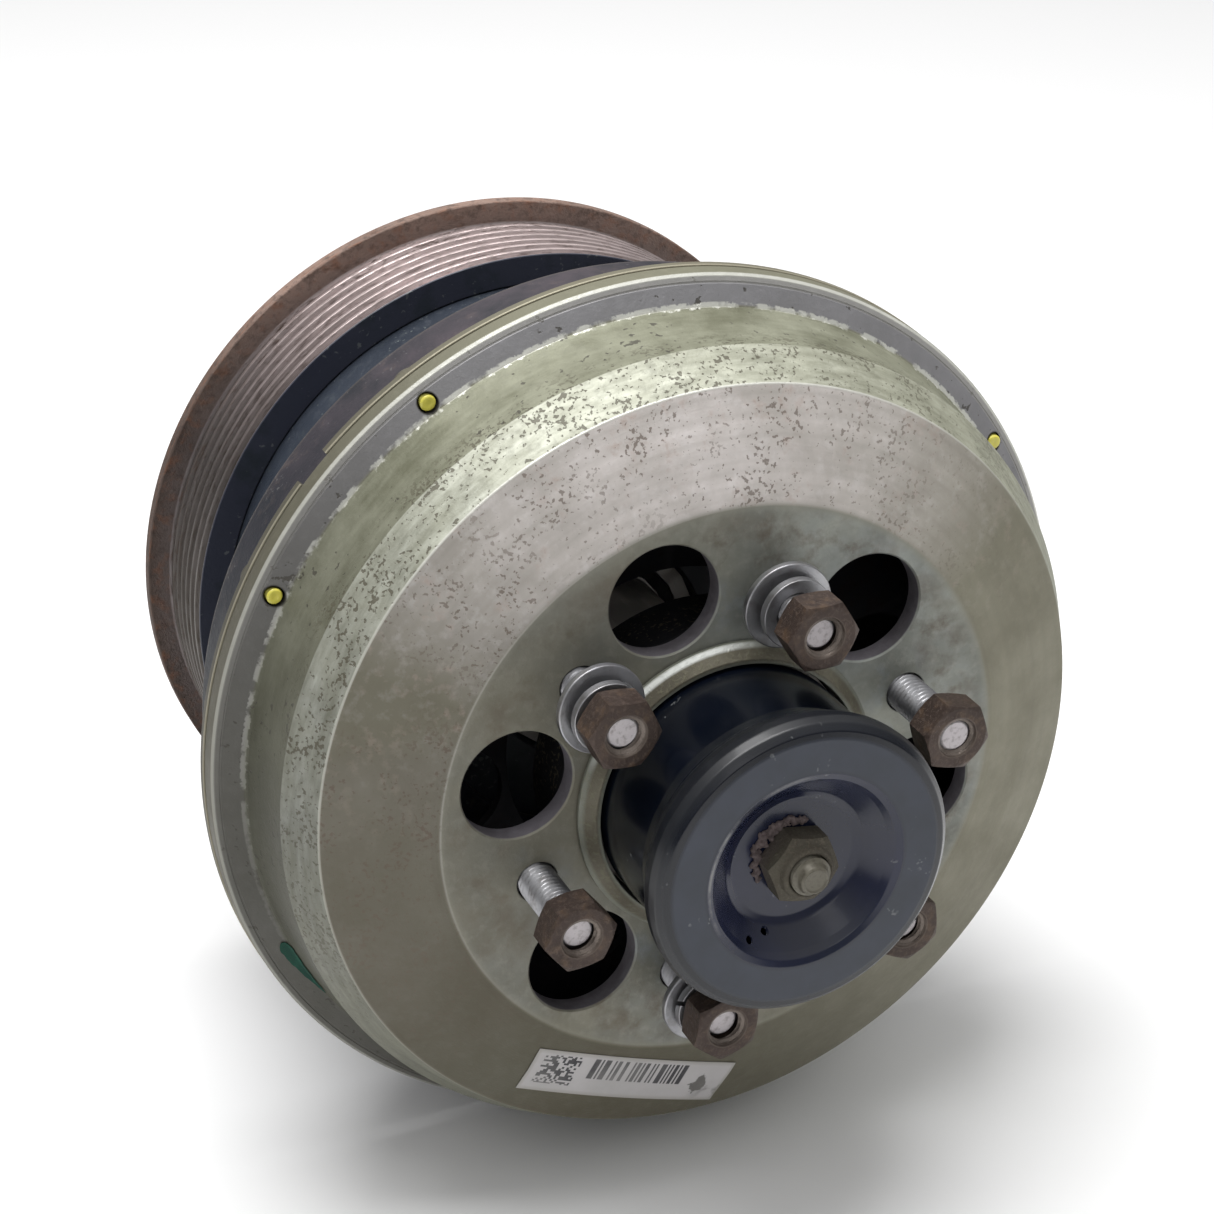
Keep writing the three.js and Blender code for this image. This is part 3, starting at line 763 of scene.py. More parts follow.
def capPaint():
    p = Paint("capPaint", (6, 10, 19), 0.2, coat=0.2, specular=0.4)
    grime = p.group("grime", Scale=34.0)
    mottle = p.group("grime", Scale=120.0)
    ringFace = p.every(p.zone(p.r, 20.9, 27.8, 0.5), p.ramp(p.s, 173.6, 174.4))
    dish = p.every(p.ramp(p.r, 21.0, 20.4), p.ramp(p.s, 167.0, 168.0))
    p.layer(grime["Cloud"], (10, 15, 27), 0.6)
    # painted sheen on the flat ring face, and a blue painted sheen in the dish
    p.layer(ringFace, (46, 52, 66), 0.85)
    p.layer(p.every(ringFace, mottle["Cloud"]), (34, 40, 46), 0.5)
    p.layer(dish, (28, 34, 54), 0.6)
    p.layer(p.every(dish, grime["Cloud"]), (34, 36, 66), 0.4)
    rim = p.every(p.zone(p.s, 164.5, 173.5, 0.8), p.ramp(p.r, 29.0, 30.2))
    p.layer(rim, (9, 12, 18), 0.7)
    p.layer(p.every(rim, p.ramp(grime["Blotch"], 0.2, 0.9)), (25, 28, 32), 0.4)
    # painted highlight along the upper left edge of the dish, and dust
    edge = p.every(p.zone(p.r, 19.8, 20.5, 0.2), p.ramp(p.s, 173.9, 174.3), p.towards(150, 0.3, 0.9),
                   p.ramp(mottle["Cloud"], 0.3, 0.9))
    p.layer(edge, (140, 140, 138), 0.6)
    dust = p.every(p.group("pits", Scale=620.0, Density=0.3)["Pits"], p.ramp(grime["Blotch"], 0.0, 0.6))
    p.layer(dust, (134, 136, 136), 0.4)
    p.roughen(p.maths("MAXIMUM", ringFace, rim), 0.2)
    p.roughen(mottle["Cloud"], 0.07)
    p.raised(grime["Grain"], 0.0015)
    p.raised(grime["Cloud"], 0.04)
    return p.done()


def crustedNut():
    p = Paint("crustedNut", (86, 82, 70), 0.7, metallic=0.15)
    grime = p.group("grime", Scale=110.0)
    mottle = p.group("grime", Scale=320.0)
    p.layer(grime["Cloud"], (60, 55, 46), 0.7)
    p.layer(mottle["Blotch"], (120, 112, 96), 0.5)
    p.layer(mottle["Cloud"], (66, 58, 48), 0.4)
    p.layer(p.every(p.towards(165, 0.4, 0.9), p.ramp(p.s, 172.5, 170.0)), (110, 100, 96), 0.6)
    p.roughen(grime["Blotch"], 0.15)
    p.raised(mottle["Blotch"], 0.12)
    p.raised(grime["Grain"], 0.05)
    p.raised(grime["Blotch"], 0.08)
    return p.done()


def crust():
    p = Paint("sealant", (122, 108, 106), 0.85)
    grime = p.group("grime", Scale=240.0)
    p.layer(grime["Cloud"], (84, 74, 74), 0.7)
    p.layer(grime["Blotch"], (58, 50, 50), 0.6)
    p.raised(grime["Blotch"], 0.1)
    p.raised(grime["Grain"], 0.06)
    return p.done()


def yellowDot():
    p = Paint("yellowDot", (226, 216, 92), 0.34, coat=0.3)
    grime = p.group("grime", Scale=120.0)
    p.layer(grime["Cloud"], (146, 142, 40), 0.7)
    # painted shade on the part of the pin below the dome, down in its hole
    p.layer(p.ramp(p.s, 106.75, 106.4), (60, 58, 30), 0.85)
    p.layer(grime["Blotch"], (206, 200, 96), 0.4)
    p.raised(grime["Cloud"], 0.05)
    return p.done()


def greenPaint():
    p = Paint("greenPaint", (5, 66, 50), 0.6, specular=0.25)
    grime = p.group("grime", Scale=90.0)
    p.layer(grime["Cloud"], (4, 52, 42), 0.7)
    p.layer(grime["Blotch"], (16, 88, 68), 0.4)
    p.raised(grime["Grain"], 0.03)
    return p.done()


def bareSteel(name="bareSteel", colour=(132, 128, 122), rust=0.6):
    p = Paint(name, colour, 0.4, metallic=0.8)
    grime = p.group("grime", Scale=26.0)
    lines = p.group("lines", Per_Metre=3000.0)
    p.layer(grime["Cloud"], (100, 96, 90), 0.6)
    p.layer(p.every(lines["Bands"], grime["Cloud"]), (150, 146, 140), 0.3)
    p.layer(grime["Blotch"], (104, 74, 54), rust)
    p.layer(p.group("rubbed", Start=0.53, Breakup=0.05)["Rub"], (186, 182, 176), 0.5)
    crusted = p.ramp(p.s, 166.0, 167.0)
    p.layer(crusted, (96, 92, 80), 0.95)
    p.layer(p.every(crusted, p.group("grime", Scale=260.0)["Blotch"]), (60, 54, 46), 0.6)
    p.dull(p.maths("MAXIMUM", crusted, grime["Blotch"]), 0.7)
    p.roughen(grime["Blotch"], 0.3)
    p.raised(lines["Lines"], 0.012)
    p.raised(p.every(grime["Grain"], grime["Blotch"]), 0.04)
    return p.done()


def retainerMetal():
    p = Paint("retainerMetal", (126, 128, 118), 0.42, metallic=0.45)
    grime = p.group("grime", Scale=60.0)
    slope = p.zone(p.r, 29.0, 31.2, 0.3)
    mottle = p.group("grime", Scale=200.0)
    p.layer(slope, (98, 90, 72), 0.7)
    p.layer(p.every(slope, grime["Cloud"]), (64, 58, 46), 0.6)
    p.layer(mottle["Blotch"], (132, 130, 106), 0.4)
    # painted highlight along the top of the outer edge
    lipHighlight = p.every(p.ramp(p.r, 30.9, 31.3), p.ramp(p.s, 140.2, 140.6), p.towards(118, 0.72, 0.9))
    p.layer(lipHighlight, (224, 226, 222), 0.85)
    p.raised(mottle["Blotch"], 0.06)
    p.dull(p.every(slope, grime["Blotch"]), 0.6)
    p.roughen(grime["Cloud"], 0.18)
    p.raised(grime["Grain"], 0.02)
    return p.done()


def copperWire():
    p = Paint("copperWire", (122, 66, 34), 0.35, metallic=0.6)
    turns = put(p.tree, "ShaderNodeTexWave", {"Vector": p.vector, "Scale": 160.0, "Distortion": 0.3},
                bands_direction="Y").outputs[1]
    p.layer(turns, (168, 98, 54), 0.6)
    p.layer(p.group("grime", Scale=40.0)["Cloud"], (88, 46, 26), 0.4)
    p.raised(turns, 0.2)
    return p.done()


def blackRubber(name="blackRubber", colour=(28, 28, 29)):
    p = Paint(name, colour, 0.7)
    grime = p.group("grime", Scale=50.0)
    p.layer(grime["Cloud"], (46, 45, 43), 0.5)
    p.layer(grime["Blotch"], (74, 68, 60), 0.3)
    p.roughen(grime["Cloud"], 0.1)
    p.raised(grime["Grain"], 0.03)
    return p.done()


def paperLabel():
    p = Paint("paperLabel", (184, 181, 181), 0.55)
    uv = put(p.tree, "ShaderNodeUVMap", uv_map="sheet").outputs[0]
    parts = put(p.tree, "ShaderNodeSeparateXYZ", {0: uv}).outputs
    u, v = parts[0], parts[1]

    def cells(columns, rows):
        # a random grey for each cell of a grid laid on the label
        large = put(p.tree, "ShaderNodeVectorMath", {0: uv, 1: (columns, rows, 0)}, operation="MULTIPLY")
        place = put(p.tree, "ShaderNodeVectorMath", {0: large.outputs[0]}, operation="FLOOR").outputs[0]
        return put(p.tree, "ShaderNodeTexWhiteNoise", {0: place}, noise_dimensions="2D").outputs[0]

    block = p.every(p.zone(u, 0.045, 0.225, 0.002), p.zone(v, 0.2, 0.9, 0.01))
    dots = p.every(block, p.maths("GREATER_THAN", cells(88.0, 22.0), 0.48))
    bars = p.every(p.zone(u, 0.285, 0.765, 0.002), p.zone(v, 0.42, 0.9, 0.01),
                   p.maths("GREATER_THAN", cells(112.0, 0.0), 0.42))
    p.layer(p.maths("MAXIMUM", dots, bars), (30, 30, 36), 0.95)
    tornWide = p.maths("ABSOLUTE", p.maths("MULTIPLY", p.maths("SUBTRACT", u, 0.87), 4.0))
    tornHigh = p.maths("ABSOLUTE", p.maths("MULTIPLY", p.maths("SUBTRACT", v, 0.42), 0.7))
    torn = p.maths("ADD", tornWide, tornHigh)
    ragged = p.maths("MULTIPLY", p.group("grime", Scale=330.0)["Cloud"], 0.13)
    p.layer(p.ramp(p.maths("SUBTRACT", torn, ragged), 0.13, 0.1), (70, 68, 62), 0.85)
    worn = p.every(p.ramp(u, 0.84, 0.95), p.ramp(p.group("grime", Scale=100.0)["Cloud"], 0.3, 0.6))
    p.layer(worn, (64, 62, 58), 0.75)
    p.layer(p.group("grime", Scale=60.0)["Cloud"], (160, 158, 155), 0.6)
    edge = p.maths("SUBTRACT", 1.0, p.every(p.zone(u, 0.012, 0.988, 0.008), p.zone(v, 0.06, 0.94, 0.04)))
    p.layer(edge, (150, 146, 138), 0.6)
    p.raised(p.group("grime", Scale=45.0)["Cloud"], 0.15)
    return p.done()


finishes = {
    "cast": castAluminium(), "ring": ringMetal(), "pulley": pulleySteel(), "rotor": rotorPaint(),
    "armature": armatureSteel(), "carrier": carrierSteel(), "zinc": zincPlate(),
    "nut": nutBronze(), "cap": capPaint(), "centreNut": crustedNut(), "sealant": crust(),
    "yellow": yellowDot(), "green": greenPaint(), "steel": bareSteel(), "retainer": retainerMetal(),
    "spring": bareSteel("springSteel", (66, 68, 74), 0.4), "copper": copperWire(),
    "rubber": blackRubber(), "lining": blackRubber("frictionLining", (84, 72, 60)),
    "label": paperLabel()}
print("finishes made:", len(finishes))

drumSize = {
    "segments": 288, "front": 139.1, "drill": (129, 142),
    # rows of (radius, s, rounding) from the rear edge forwards, then in over the face and down the inside
    "rim": [(84, 100.7), (95, 100.7, 0.3), (95, 104.55, 0.25), (94.45, 105.12, 0.2), (93.5, 105.5, 0.05),
            (93.4, 105.38, 0.02), (93.1, 105.5, 0.02), (93.0, 105.72, 0.05), (89.3, 107.3, 0.2),
            (88.85, 107.5, 0.12)],
    "wallRear": 108.1, "wallFront": 123.5, "wallRadius": 86.7, "wallSpread": 1.8, "wallBend": 2.6,
    "wallSteps": 16, "wallRounding": 0.05, "wallEdge": 0.45,
    "face": [(81.9, 132.2, 0.3), (71.5, 136.1, 8), (61.8, 138.8, 0.8), (59.8, 139.1, 0.6)],
    "inside": [(28.5, 139.1, 0.3), (28.5, 120), (33.2, 120), (33.2, 134.7, 1.5), (58, 134.7, 3),
               (70, 131.8, 3), (77.5, 129, 2), (80, 122.5, 2), (80, 112), (84, 112)],
    "ventRadius": 11.5, "ventChamfer": 0.35, "studHole": 4.3, "studChamfer": 0.15,
    "pinHole": 2.4, "pinHoleRun": (99, 104.8), "pinMouth": 2.0, "pinMouthRun": (104.7, 112)}


def wallRadius(s):
    # the wall flares towards the rim
    z = drumSize
    away = (z["wallFront"] - s) / (z["wallFront"] - z["wallRear"])
    return z["wallRadius"] + z["wallSpread"] * max(0.0, away) ** z["wallBend"]


def makeDrum():
    z = drumSize
    length = z["wallFront"] - z["wallRear"]
    wall = [z["wallRear"] + length * k / z["wallSteps"] for k in range(z["wallSteps"])]
    rows = z["rim"] + [(wallRadius(s), s, z["wallRounding"]) for s in wall]
    rows += [(z["wallRadius"], z["wallFront"], z["wallEdge"])] + z["face"] + z["inside"]
    body = turned("hubDrum", rows, finishes["cast"], segments=z["segments"])
    body = drilled(
        body, z["ventRadius"], ventCircle, ventAngles, *z["drill"], 72, z["ventChamfer"], z["front"])
    body = drilled(
        body, z["studHole"], studCircle, studAngles, *z["drill"], 48, z["studChamfer"], z["front"])
    body = drilled(body, z["pinHole"], pinCircle, pinAngles, *z["pinHoleRun"], 32)
    return squared(drilled(body, z["pinMouth"], pinCircle, pinAngles, *z["pinMouthRun"], 32))


drum = onBody(makeDrum(), "fan_hub", ["drum"])
print("drum made, faces:", len(drum.data.polygons))


def block(name, size, rounding=0.0, turn=0.0, shift=(0, 0, 0)):
    # a block in mm, rounded along its long edges, turned about X and moved
    mesh = bpy.data.meshes.new(name)
    shape = bmesh.new()
    bmesh.ops.create_cube(shape, size=mm)
    bmesh.ops.scale(shape, vec=size, verts=shape.verts)
    if rounding:
        edges = [e for e in shape.edges if abs(e.verts[0].co.y - e.verts[1].co.y) > mm]
        bmesh.ops.bevel(shape, geom=edges, offset=rounding * mm, segments=3, affect="EDGES")
    bmesh.ops.rotate(shape, verts=shape.verts, matrix=Matrix.Rotation(turn, 3, "X"))
    bmesh.ops.translate(shape, vec=Vector(shift) * mm, verts=shape.verts)
    shape.to_mesh(mesh)
    shape.free()
    return linked(name, mesh)


ringSize = {
    "section": [(84.8, 98.3), (95.2, 98.3, 0.35), (95.2, 100.4), (84.8, 100.4)], "segments": 288,
    "lug": [(0, 95.9), (2.9, 95.9, 0.5), (3.7, 97.1, 0.5), (3.7, 99, 0), (0, 99)], "lugCircle": 91.2,
    "notch": (8, 6, 7.6), "notchRounding": 0.6, "notchPlace": (96, 99), "notchAngles": evenly(3, 137),
    "pinHole": 2.4, "drill": (97.6, 102)}


def makeRearRing():
    z = ringSize
    body = turned("rearRing", z["section"], finishes["ring"], segments=z["segments"])
    lug = turned("lug", z["lug"], closed=False, segments=40)
    body = patterned("UNION", body, lug, [(z["lugCircle"], a, 0) for a in pinAngles], "rearRing")
    circle, s = z["notchPlace"]
    spots = [(circle, a, s, (0, -a, 0)) for a in z["notchAngles"]]
    notch = block("notch", z["notch"], z["notchRounding"])
    body = patterned("DIFFERENCE", body, notch, spots, "rearRing")
    return squared(drilled(body, z["pinHole"], pinCircle, pinAngles, *z["drill"], 32))


onBody(makeRearRing(), "fan_hub", ["rear_ring"])

carrierSize = {
    "section": [(35.5, 109.6), (83.6, 109.6), (83.6, 111.7), (35.5, 111.7)], "drill": (109, 112.5),
    "opening": 10.5, "openingCircle": 47.5, "openingAngles": evenly(6, 187),
    "rivetHole": 2.9, "rivetCircle": 60, "rivetAngles": evenly(3, 92)}


def makeCarrier():
    z = carrierSize
    body = turned("carrierPlate", z["section"], finishes["carrier"], segments=144)
    body = drilled(body, z["opening"], z["openingCircle"], z["openingAngles"], *z["drill"], 64)
    return squared(drilled(body, z["rivetHole"], z["rivetCircle"], z["rivetAngles"], *z["drill"], 32))


onBody(makeCarrier(), "fan_hub", ["carrier_plate"])

retainerSection = [(28.3, 139.4), (32, 139.4, 0.3), (32, 140.3, 0.3), (31.3, 141.1, 0.3), (29.4, 143, 0.4),
                   (28.3, 143)]
retainer = turned("bearingRetainer", retainerSection, finishes["retainer"])
onBody(squared(retainer), "fan_hub", ["bearing_retainer"])
print("fan hub castings made")

studSize = {
    "head": [(0, 131.4), (6, 131.4, 0.4), (6, 134.4), (4, 134.4, 0.0)], "radius": 4.0, "threadFrom": 135.2,
    "pitch": 1.25, "depth": 0.62, "step": 0.16, "chamfer": 1.2, "tip": 2.8, "end": 158.9, "turn": 40}


def threadRows(radius, start, end, step, closing=0.6):
    # a run of profile points, with the thread fading in and out
    count = max(2, round((end - start) / step))
    rows = []
    for k in range(count + 1):
        s = start + (end - start) * k / count
        fade = min(1.0, (s - start) / closing, (end - s) / closing)
        rows.append((radius, s, 0.0, max(0.0, fade)))
    return rows


def makeStuds():
    z = studSize
    rows = z["head"] + threadRows(z["radius"], z["threadFrom"], z["end"] - z["chamfer"], z["step"])
    rows += [(z["tip"], z["end"], 0.1), (0, z["end"])]
    stud = turned("studShape", rows, closed=False, segments=36, steps=1, pitch=z["pitch"], depth=z["depth"])
    spots = [(studCircle, a, 0, (0, z["turn"] * k, 0)) for k, a in enumerate(studAngles)]
    return squared(patterned("PLACE", None, stud, spots, "studs", finishes["zinc"]), 50)


onBody(makeStuds(), "fan_hub", [f"stud_{k}" for k in range(1, 7)])

nutSize = {
    "flats": 13.0, "height": 6.8, "bore": 4.15, "thread": 3.95, "seat": 4.2, "step": 0.14, "slope": 0.62,
    "mouth": 0.45, "overlap": 0.25, "inset": 0.15, "turn": 13,
    "fronts": [161.2, 159.9, 161.0, 161.6, 161.3, 160.6]}


def hexBlank(flats, height):
    corner = flats / math.sqrt(3)
    return turned("hex", [(0, 0), (corner, 0), (corner, height), (0, height)],
                  closed=False, segments=6, steps=1, rounding=0)


def makeNuts():
    # a turned envelope with the thread in it, met by a hexagon
    z = nutSize
    flat, corner, top = z["flats"] / 2 - z["inset"], z["flats"] / math.sqrt(3) + z["overlap"], z["height"]
    drop = (z["flats"] / math.sqrt(3) - z["flats"] / 2) * z["slope"] + 0.1
    bore = [(z["bore"], 0.5), (z["bore"], z["seat"], 0.0)]
    bore += threadRows(z["thread"], z["seat"] + 0.1, top - z["mouth"], z["step"], 0.25)
    rows = [(z["bore"] + 0.5, 0), (flat, 0, 0.3), (corner, drop, 0.2), (corner, top - drop, 0.5),
            (flat, top, 0.6), (z["bore"] + 0.1, top, 0.2)]
    envelope = turned("nutShape", rows + bore[::-1], segments=96, steps=2, pitch=studSize["pitch"],
                      depth=studSize["depth"])
    nut = patterned("INTERSECT", envelope, hexBlank(z["flats"], top), [(0, 0, 0)], "nutShape")
    spots = [(studCircle, a, front - top, (0, z["turn"] * k, 0))
             for k, (a, front) in enumerate(zip(studAngles, z["fronts"]))]
    return squared(patterned("PLACE", None, nut, spots, "nuts", finishes["nut"]), 28)


onBody(makeNuts(), "fan_hub", [f"nut_{k}" for k in range(1, 7)])

# s and the tilt in degrees of the washers, by the number of their stud
washerSize = {
    "flatSection": [(4.45, 0), (9, 0, 0.3), (9, 1.6, 0.3), (4.45, 1.6)],
    "flat": {1: (144.8, (2.5, 0, -2)), 4: (149.6, (2, 0, 1.5)), 6: (147.8, (-2, 0, 3))},
    "springSection": [(4.4, 0.1), (7.1, 0), (7.1, 1.95), (4.4, 1.85)],
    "spring": {1: 148.3, 4: 152.2, 6: 151.0}, "springTurn": 50,
    "split": (4.5, 5, 0.9), "splitLean": 0.5, "splitPlace": (5.8, -1, 0)}


def makeWashers():
    z = washerSize
    flat = turned("washerShape", z["flatSection"], segments=96, rounding=0.15)
    spots = [(studCircle, studAngles[k - 1], s, tilt) for k, (s, tilt) in z["flat"].items()]
    flats = squared(patterned("PLACE", None, flat, spots, "flatWashers", finishes["zinc"]))
    coil = turned("coilShape", z["springSection"], segments=96, rounding=0.2)
    split = block("split", z["split"], turn=z["splitLean"], shift=z["splitPlace"])
    coil = patterned("DIFFERENCE", coil, split, [(0, 0, 0)], "coilShape")
    spots = [(studCircle, studAngles[k - 1], s, (0, z["springTurn"] * k, 0)) for k, s in z["spring"].items()]
    springs = squared(patterned("PLACE", None, coil, spots, "springWashers", finishes["zinc"]))
    return flats, springs


flatWashers, springWashers = makeWashers()
onBody(flatWashers, "fan_hub", ["washer_1", "washer_4", "washer_6"])
onBody(springWashers, "fan_hub", ["spring_washer_1", "spring_washer_4", "spring_washer_6"])

pinSection = [(0, 98), (2.1, 98), (2.1, 104.6), (1.6, 105.0), (1.6, 106.75, 0.3), (1.25, 107, 0.3),
              (0.7, 107, 0.3), (0, 106.85)]


def makePins():
    pin = turned("pinShape", pinSection, closed=False, segments=32)
    spots = [(pinCircle, a, 0) for a in pinAngles]
    return squared(patterned("PLACE", None, pin, spots, "pins", finishes["yellow"]), 50)


onBody(makePins(), "fan_hub", [f"pin_{k}" for k in range(1, 7)])
print("fasteners made")

pulleySize = {
    "rear": [(70.3, 6), (80.8, 6, 0.4), (81.5, 6.7, 0.4), (81.5, 9.6, 0.45)], "front": 33.9, "inner": 70.3,
    "ribs": 7, "ribRadius": 76.9, "ribPitch": 3.53, "ribDepth": 2.8, "lastRib": 32.1,
    "topHalf": 1.25, "bottomHalf": 0.35, "segments": 256}


def makePulley():
    z = pulleySize
    rows = list(z["rear"])
    high, low = z["ribRadius"], z["ribRadius"] - z["ribDepth"]
    for k in range(z["ribs"]):
        s = z["lastRib"] - z["ribPitch"] * (z["ribs"] - 1 - k)
        rows += [(high, s - z["topHalf"], 0.3), (low, s - z["bottomHalf"], 0.25),
                 (low, s + z["bottomHalf"], 0.25), (high, s + z["topHalf"], 0.3)]
    rows += [(high - 0.3, z["front"], 0.2), (z["inner"], z["front"])]
    return squared(turned("beltPulley", rows, finishes["pulley"], segments=z["segments"]), 40)


def arcBlock(r0, r1, s0, s1, a0, a1, steps):
    mesh = bpy.data.meshes.new("arcBlock")
    points, faces = [], []
    for k in range(steps + 1):
        a = a0 + (a1 - a0) * k / steps
        points += [polar(r, a, s) for r, s in ((r0, s0), (r1, s0), (r1, s1), (r0, s1))]
        if k:
            old, new = 4 * k - 4, 4 * k
            faces += [(old + j, old + (j + 1) % 4, new + (j + 1) % 4, new + j) for j in range(4)]
    faces += [(3, 2, 1, 0), tuple(4 * steps + j for j in range(4))]
    mesh.from_pydata(points, [], faces)
    made = linked("arcBlock", mesh)
    if volumeOf(mesh) < 0:
        mesh.flip_normals()
    return made


rotorSize = {
    "section": [(25.3, 46), (31, 46), (31, 68.2, 1.5), (63.6, 68.2, 2), (63.6, 14), (70, 14, 0.5),
                (70, 75.2, 0.6), (25.3, 75.2, 0.4)],
    "segments": 240, "slots": 6, "slot": (47, 50.5, 66, 77, 8, 52), "slotSteps": 24}


def makeRotor():
    # slots in the friction wall send the coil's field through the armature
    z = rotorSize
    body = turned("rotorShell", z["section"], finishes["rotor"], segments=z["segments"])
    slot = arcBlock(*z["slot"], z["slotSteps"])
    spots = [(0, 0, 0, (0, -a, 0)) for a in evenly(z["slots"])]
    return squared(patterned("DIFFERENCE", body, slot, spots, "rotorShell"))


onBody(makePulley(), "pulley_body", ["pulley"])
onBody(makeRotor(), "pulley_body", ["rotor"])
armatureSection = [(40, 76), (59.7, 76), (59.7, 78.3), (68.8, 78.3), (68.8, 76), (88.5, 76, 0.9),
                   (88.5, 94.8, 0.4), (84.5, 94.8, 0.3), (84.5, 81, 1), (40, 81)]
armature = turned("armaturePlate", armatureSection, finishes["armature"], segments=256, steps=4)
onBody(squared(armature), "armature_body", ["armature"])
print("pulley, rotor and armature made")

capSize = {
    "segments": 224,
    "profile": [
        (25.6, 140.4), (27, 140.4), (27.6, 141, 0.3), (27.6, 161, 4), (28.3, 164.4, 3), (30, 166.8, 2.5),
        (30.9, 169, 2.5), (31.1, 171.2, 1.8), (30.6, 173.2, 1.2), (29.3, 174.4, 1.0), (27.6, 174.8, 1.0),
        (20.6, 174.8, 0.8), (19.3, 174.3, 0.8), (18.2, 173, 1.5), (14.4, 169.3, 2.5), (12.8, 168.6, 1.5),
        (4.3, 168.6, 0.1), (4.3, 166.6), (12.6, 166.6), (16.6, 171, 1), (18, 172.6, 1), (27.6, 172.6, 1),
        (28.9, 171.2, 1), (28.6, 169, 1), (26.4, 165.4, 1), (25.6, 161, 1)],
    "dishSlope": [(14.4, 169.3), (18.2, 173.0)],
    # dents are (radius, degrees, half width), and their shape is in shares of that width
    "dents": [(17.2, 233, 0.95), (15.2, 246, 1.05)], "dentLift": 0.35,
    "dentShape": [(0, -1.1), (0.55, -0.9), (1, 0), (0.6, 0.9), (0, 1.1)]}


def makeCap():
    z = capSize
    body = turned("endCap", z["profile"], finishes["cap"], segments=z["segments"], steps=5)
    for radius, angle, width in z["dents"]:
        s = between(z["dishSlope"], radius) + z["dentLift"]
        rows = [(width * share, s + rise) for share, rise in z["dentShape"]]
        dent = turned("dent", rows, closed=False, segments=16, rounding=0)
        body = patterned("DIFFERENCE", body, dent, [(radius, angle, 0)], "endCap")
    return squared(body, 40)


onBody(makeCap(), "mount_body", ["dust_cap"])

centreNutSize = {
    "flats": 13.2, "blankFrom": 168.5, "blankHeight": 8.0, "turn": 10, "overlap": 0.2, "inset": 0.4,
    "seat": [(4.3, 168.9), (7.6, 168.9, 0.3)], "corners": (169.6, 173.2), "top": 174.2,
    "collar": [(5.6, 174.4, 0.5), (5.3, 175.7, 0.7), (4.7, 176, 0.3), (4.2, 175.8)]}


def makeCentreNut():
    z = centreNutSize
    corner = z["flats"] / math.sqrt(3) + z["overlap"]
    rows = z["seat"] + [(corner, s, 0.4) for s in z["corners"]]
    rows += [(z["flats"] / 2 - z["inset"], z["top"], 0.8)] + z["collar"]
    envelope = turned("centreNut", rows, finishes["centreNut"], segments=96, steps=4)
    hexagon = hexBlank(z["flats"], z["blankHeight"])
    spot = (0, 0, z["blankFrom"], (0, z["turn"], 0))
    return squared(patterned("INTERSECT", envelope, hexagon, [spot], "centreNut"), 30)


onBody(makeCentreNut(), "mount_body", ["centre_nut"])

spindleSize = {
    "shaft": [(0, 0), (20, 0, 0.8), (20, 48, 0.6), (15, 48, 0.5), (15, 146, 1), (8, 147, 0.5),
              (8, 166.3, 0.4), (4, 166.3, 0.1)],
    "threadRadius": 4.0, "thread": (167.5, 176.6), "threadStep": 0.2, "threadDepth": 0.5,
    "tip": [(3.5, 176.8, 0.15), (3.2, 177.1, 0.15), (2.9, 178.2, 0.2), (2.4, 178.6, 0.15), (2.1, 178.3, 0.1),
            (0, 178.3)]}


def makeSpindle():
    z = spindleSize
    rows = z["shaft"] + threadRows(z["threadRadius"], *z["thread"], z["threadStep"]) + z["tip"]
    made = turned("fixedSpindle", rows, finishes["steel"], closed=False, segments=96, steps=2,
                  depth=z["threadDepth"])
    return squared(made, 40)


flangeSize = {
    "section": [(20.3, 0), (48, 0, 0.8), (48, 8, 0.6), (31.5, 8, 0.8), (31.5, 13, 0.6), (20.3, 13)],
    "boltHole": 4.2, "boltCircle": 36, "boltDrill": (-1, 9)}
coilScrew = {
    "hole": 2.9, "circle": 43, "angles": evenly(3, 45), "flangeDrill": (2.5, 9), "housingDrill": (8, 14)}


def makeFlange():
    z, screw = flangeSize, coilScrew
    body = turned("mountingFlange", z["section"], finishes["steel"], segments=160)
    body = drilled(body, z["boltHole"], z["boltCircle"], evenly(4), *z["boltDrill"], 48)
    return squared(drilled(body, screw["hole"], screw["circle"], screw["angles"], *screw["flangeDrill"], 32))


housingSize = {
    "section": [(32, 8.3), (62.5, 8.3, 1), (62.5, 67.2), (58.5, 67.2), (58.5, 13.5, 1), (36.5, 13.5, 1),
                (36.5, 67.2), (32, 67.2)],
    "leadHole": 3.3, "leadCircle": 53.2, "leadAngle": 90}


def makeCoilHousing():
    z, screw = housingSize, coilScrew
    body = turned("coilHousing", z["section"], finishes["steel"], segments=160)
    body = drilled(body, screw["hole"], screw["circle"], screw["angles"], *screw["housingDrill"], 32)
    body = drilled(body, z["leadHole"], z["leadCircle"], [z["leadAngle"]], *screw["housingDrill"], 32)
    return squared(body)


grommetSection = [(1.6, 4.5), (4, 4.5, 0.4), (4.6, 5.5, 0.4), (4.6, 8, 0.3), (3, 8), (3, 13.8),
                  (4.4, 13.8, 0.3), (4.4, 15.5, 0.4), (1.6, 15.5)]


def makeGrommet():
    shape = turned("grommetShape", grommetSection, finishes["rubber"], segments=48)
    spot = (housingSize["leadCircle"], housingSize["leadAngle"], 0)
    return squared(patterned("PLACE", None, shape, [spot], "leadGrommet", finishes["rubber"]))


onBody(makeSpindle(), "mount_body", ["spindle"])
onBody(makeFlange(), "mount_body", ["mounting_flange"])
onBody(makeCoilHousing(), "mount_body", ["coil_housing"])
onBody(makeGrommet(), "mount_body", ["coil_grommet"])
print("spindle side made")

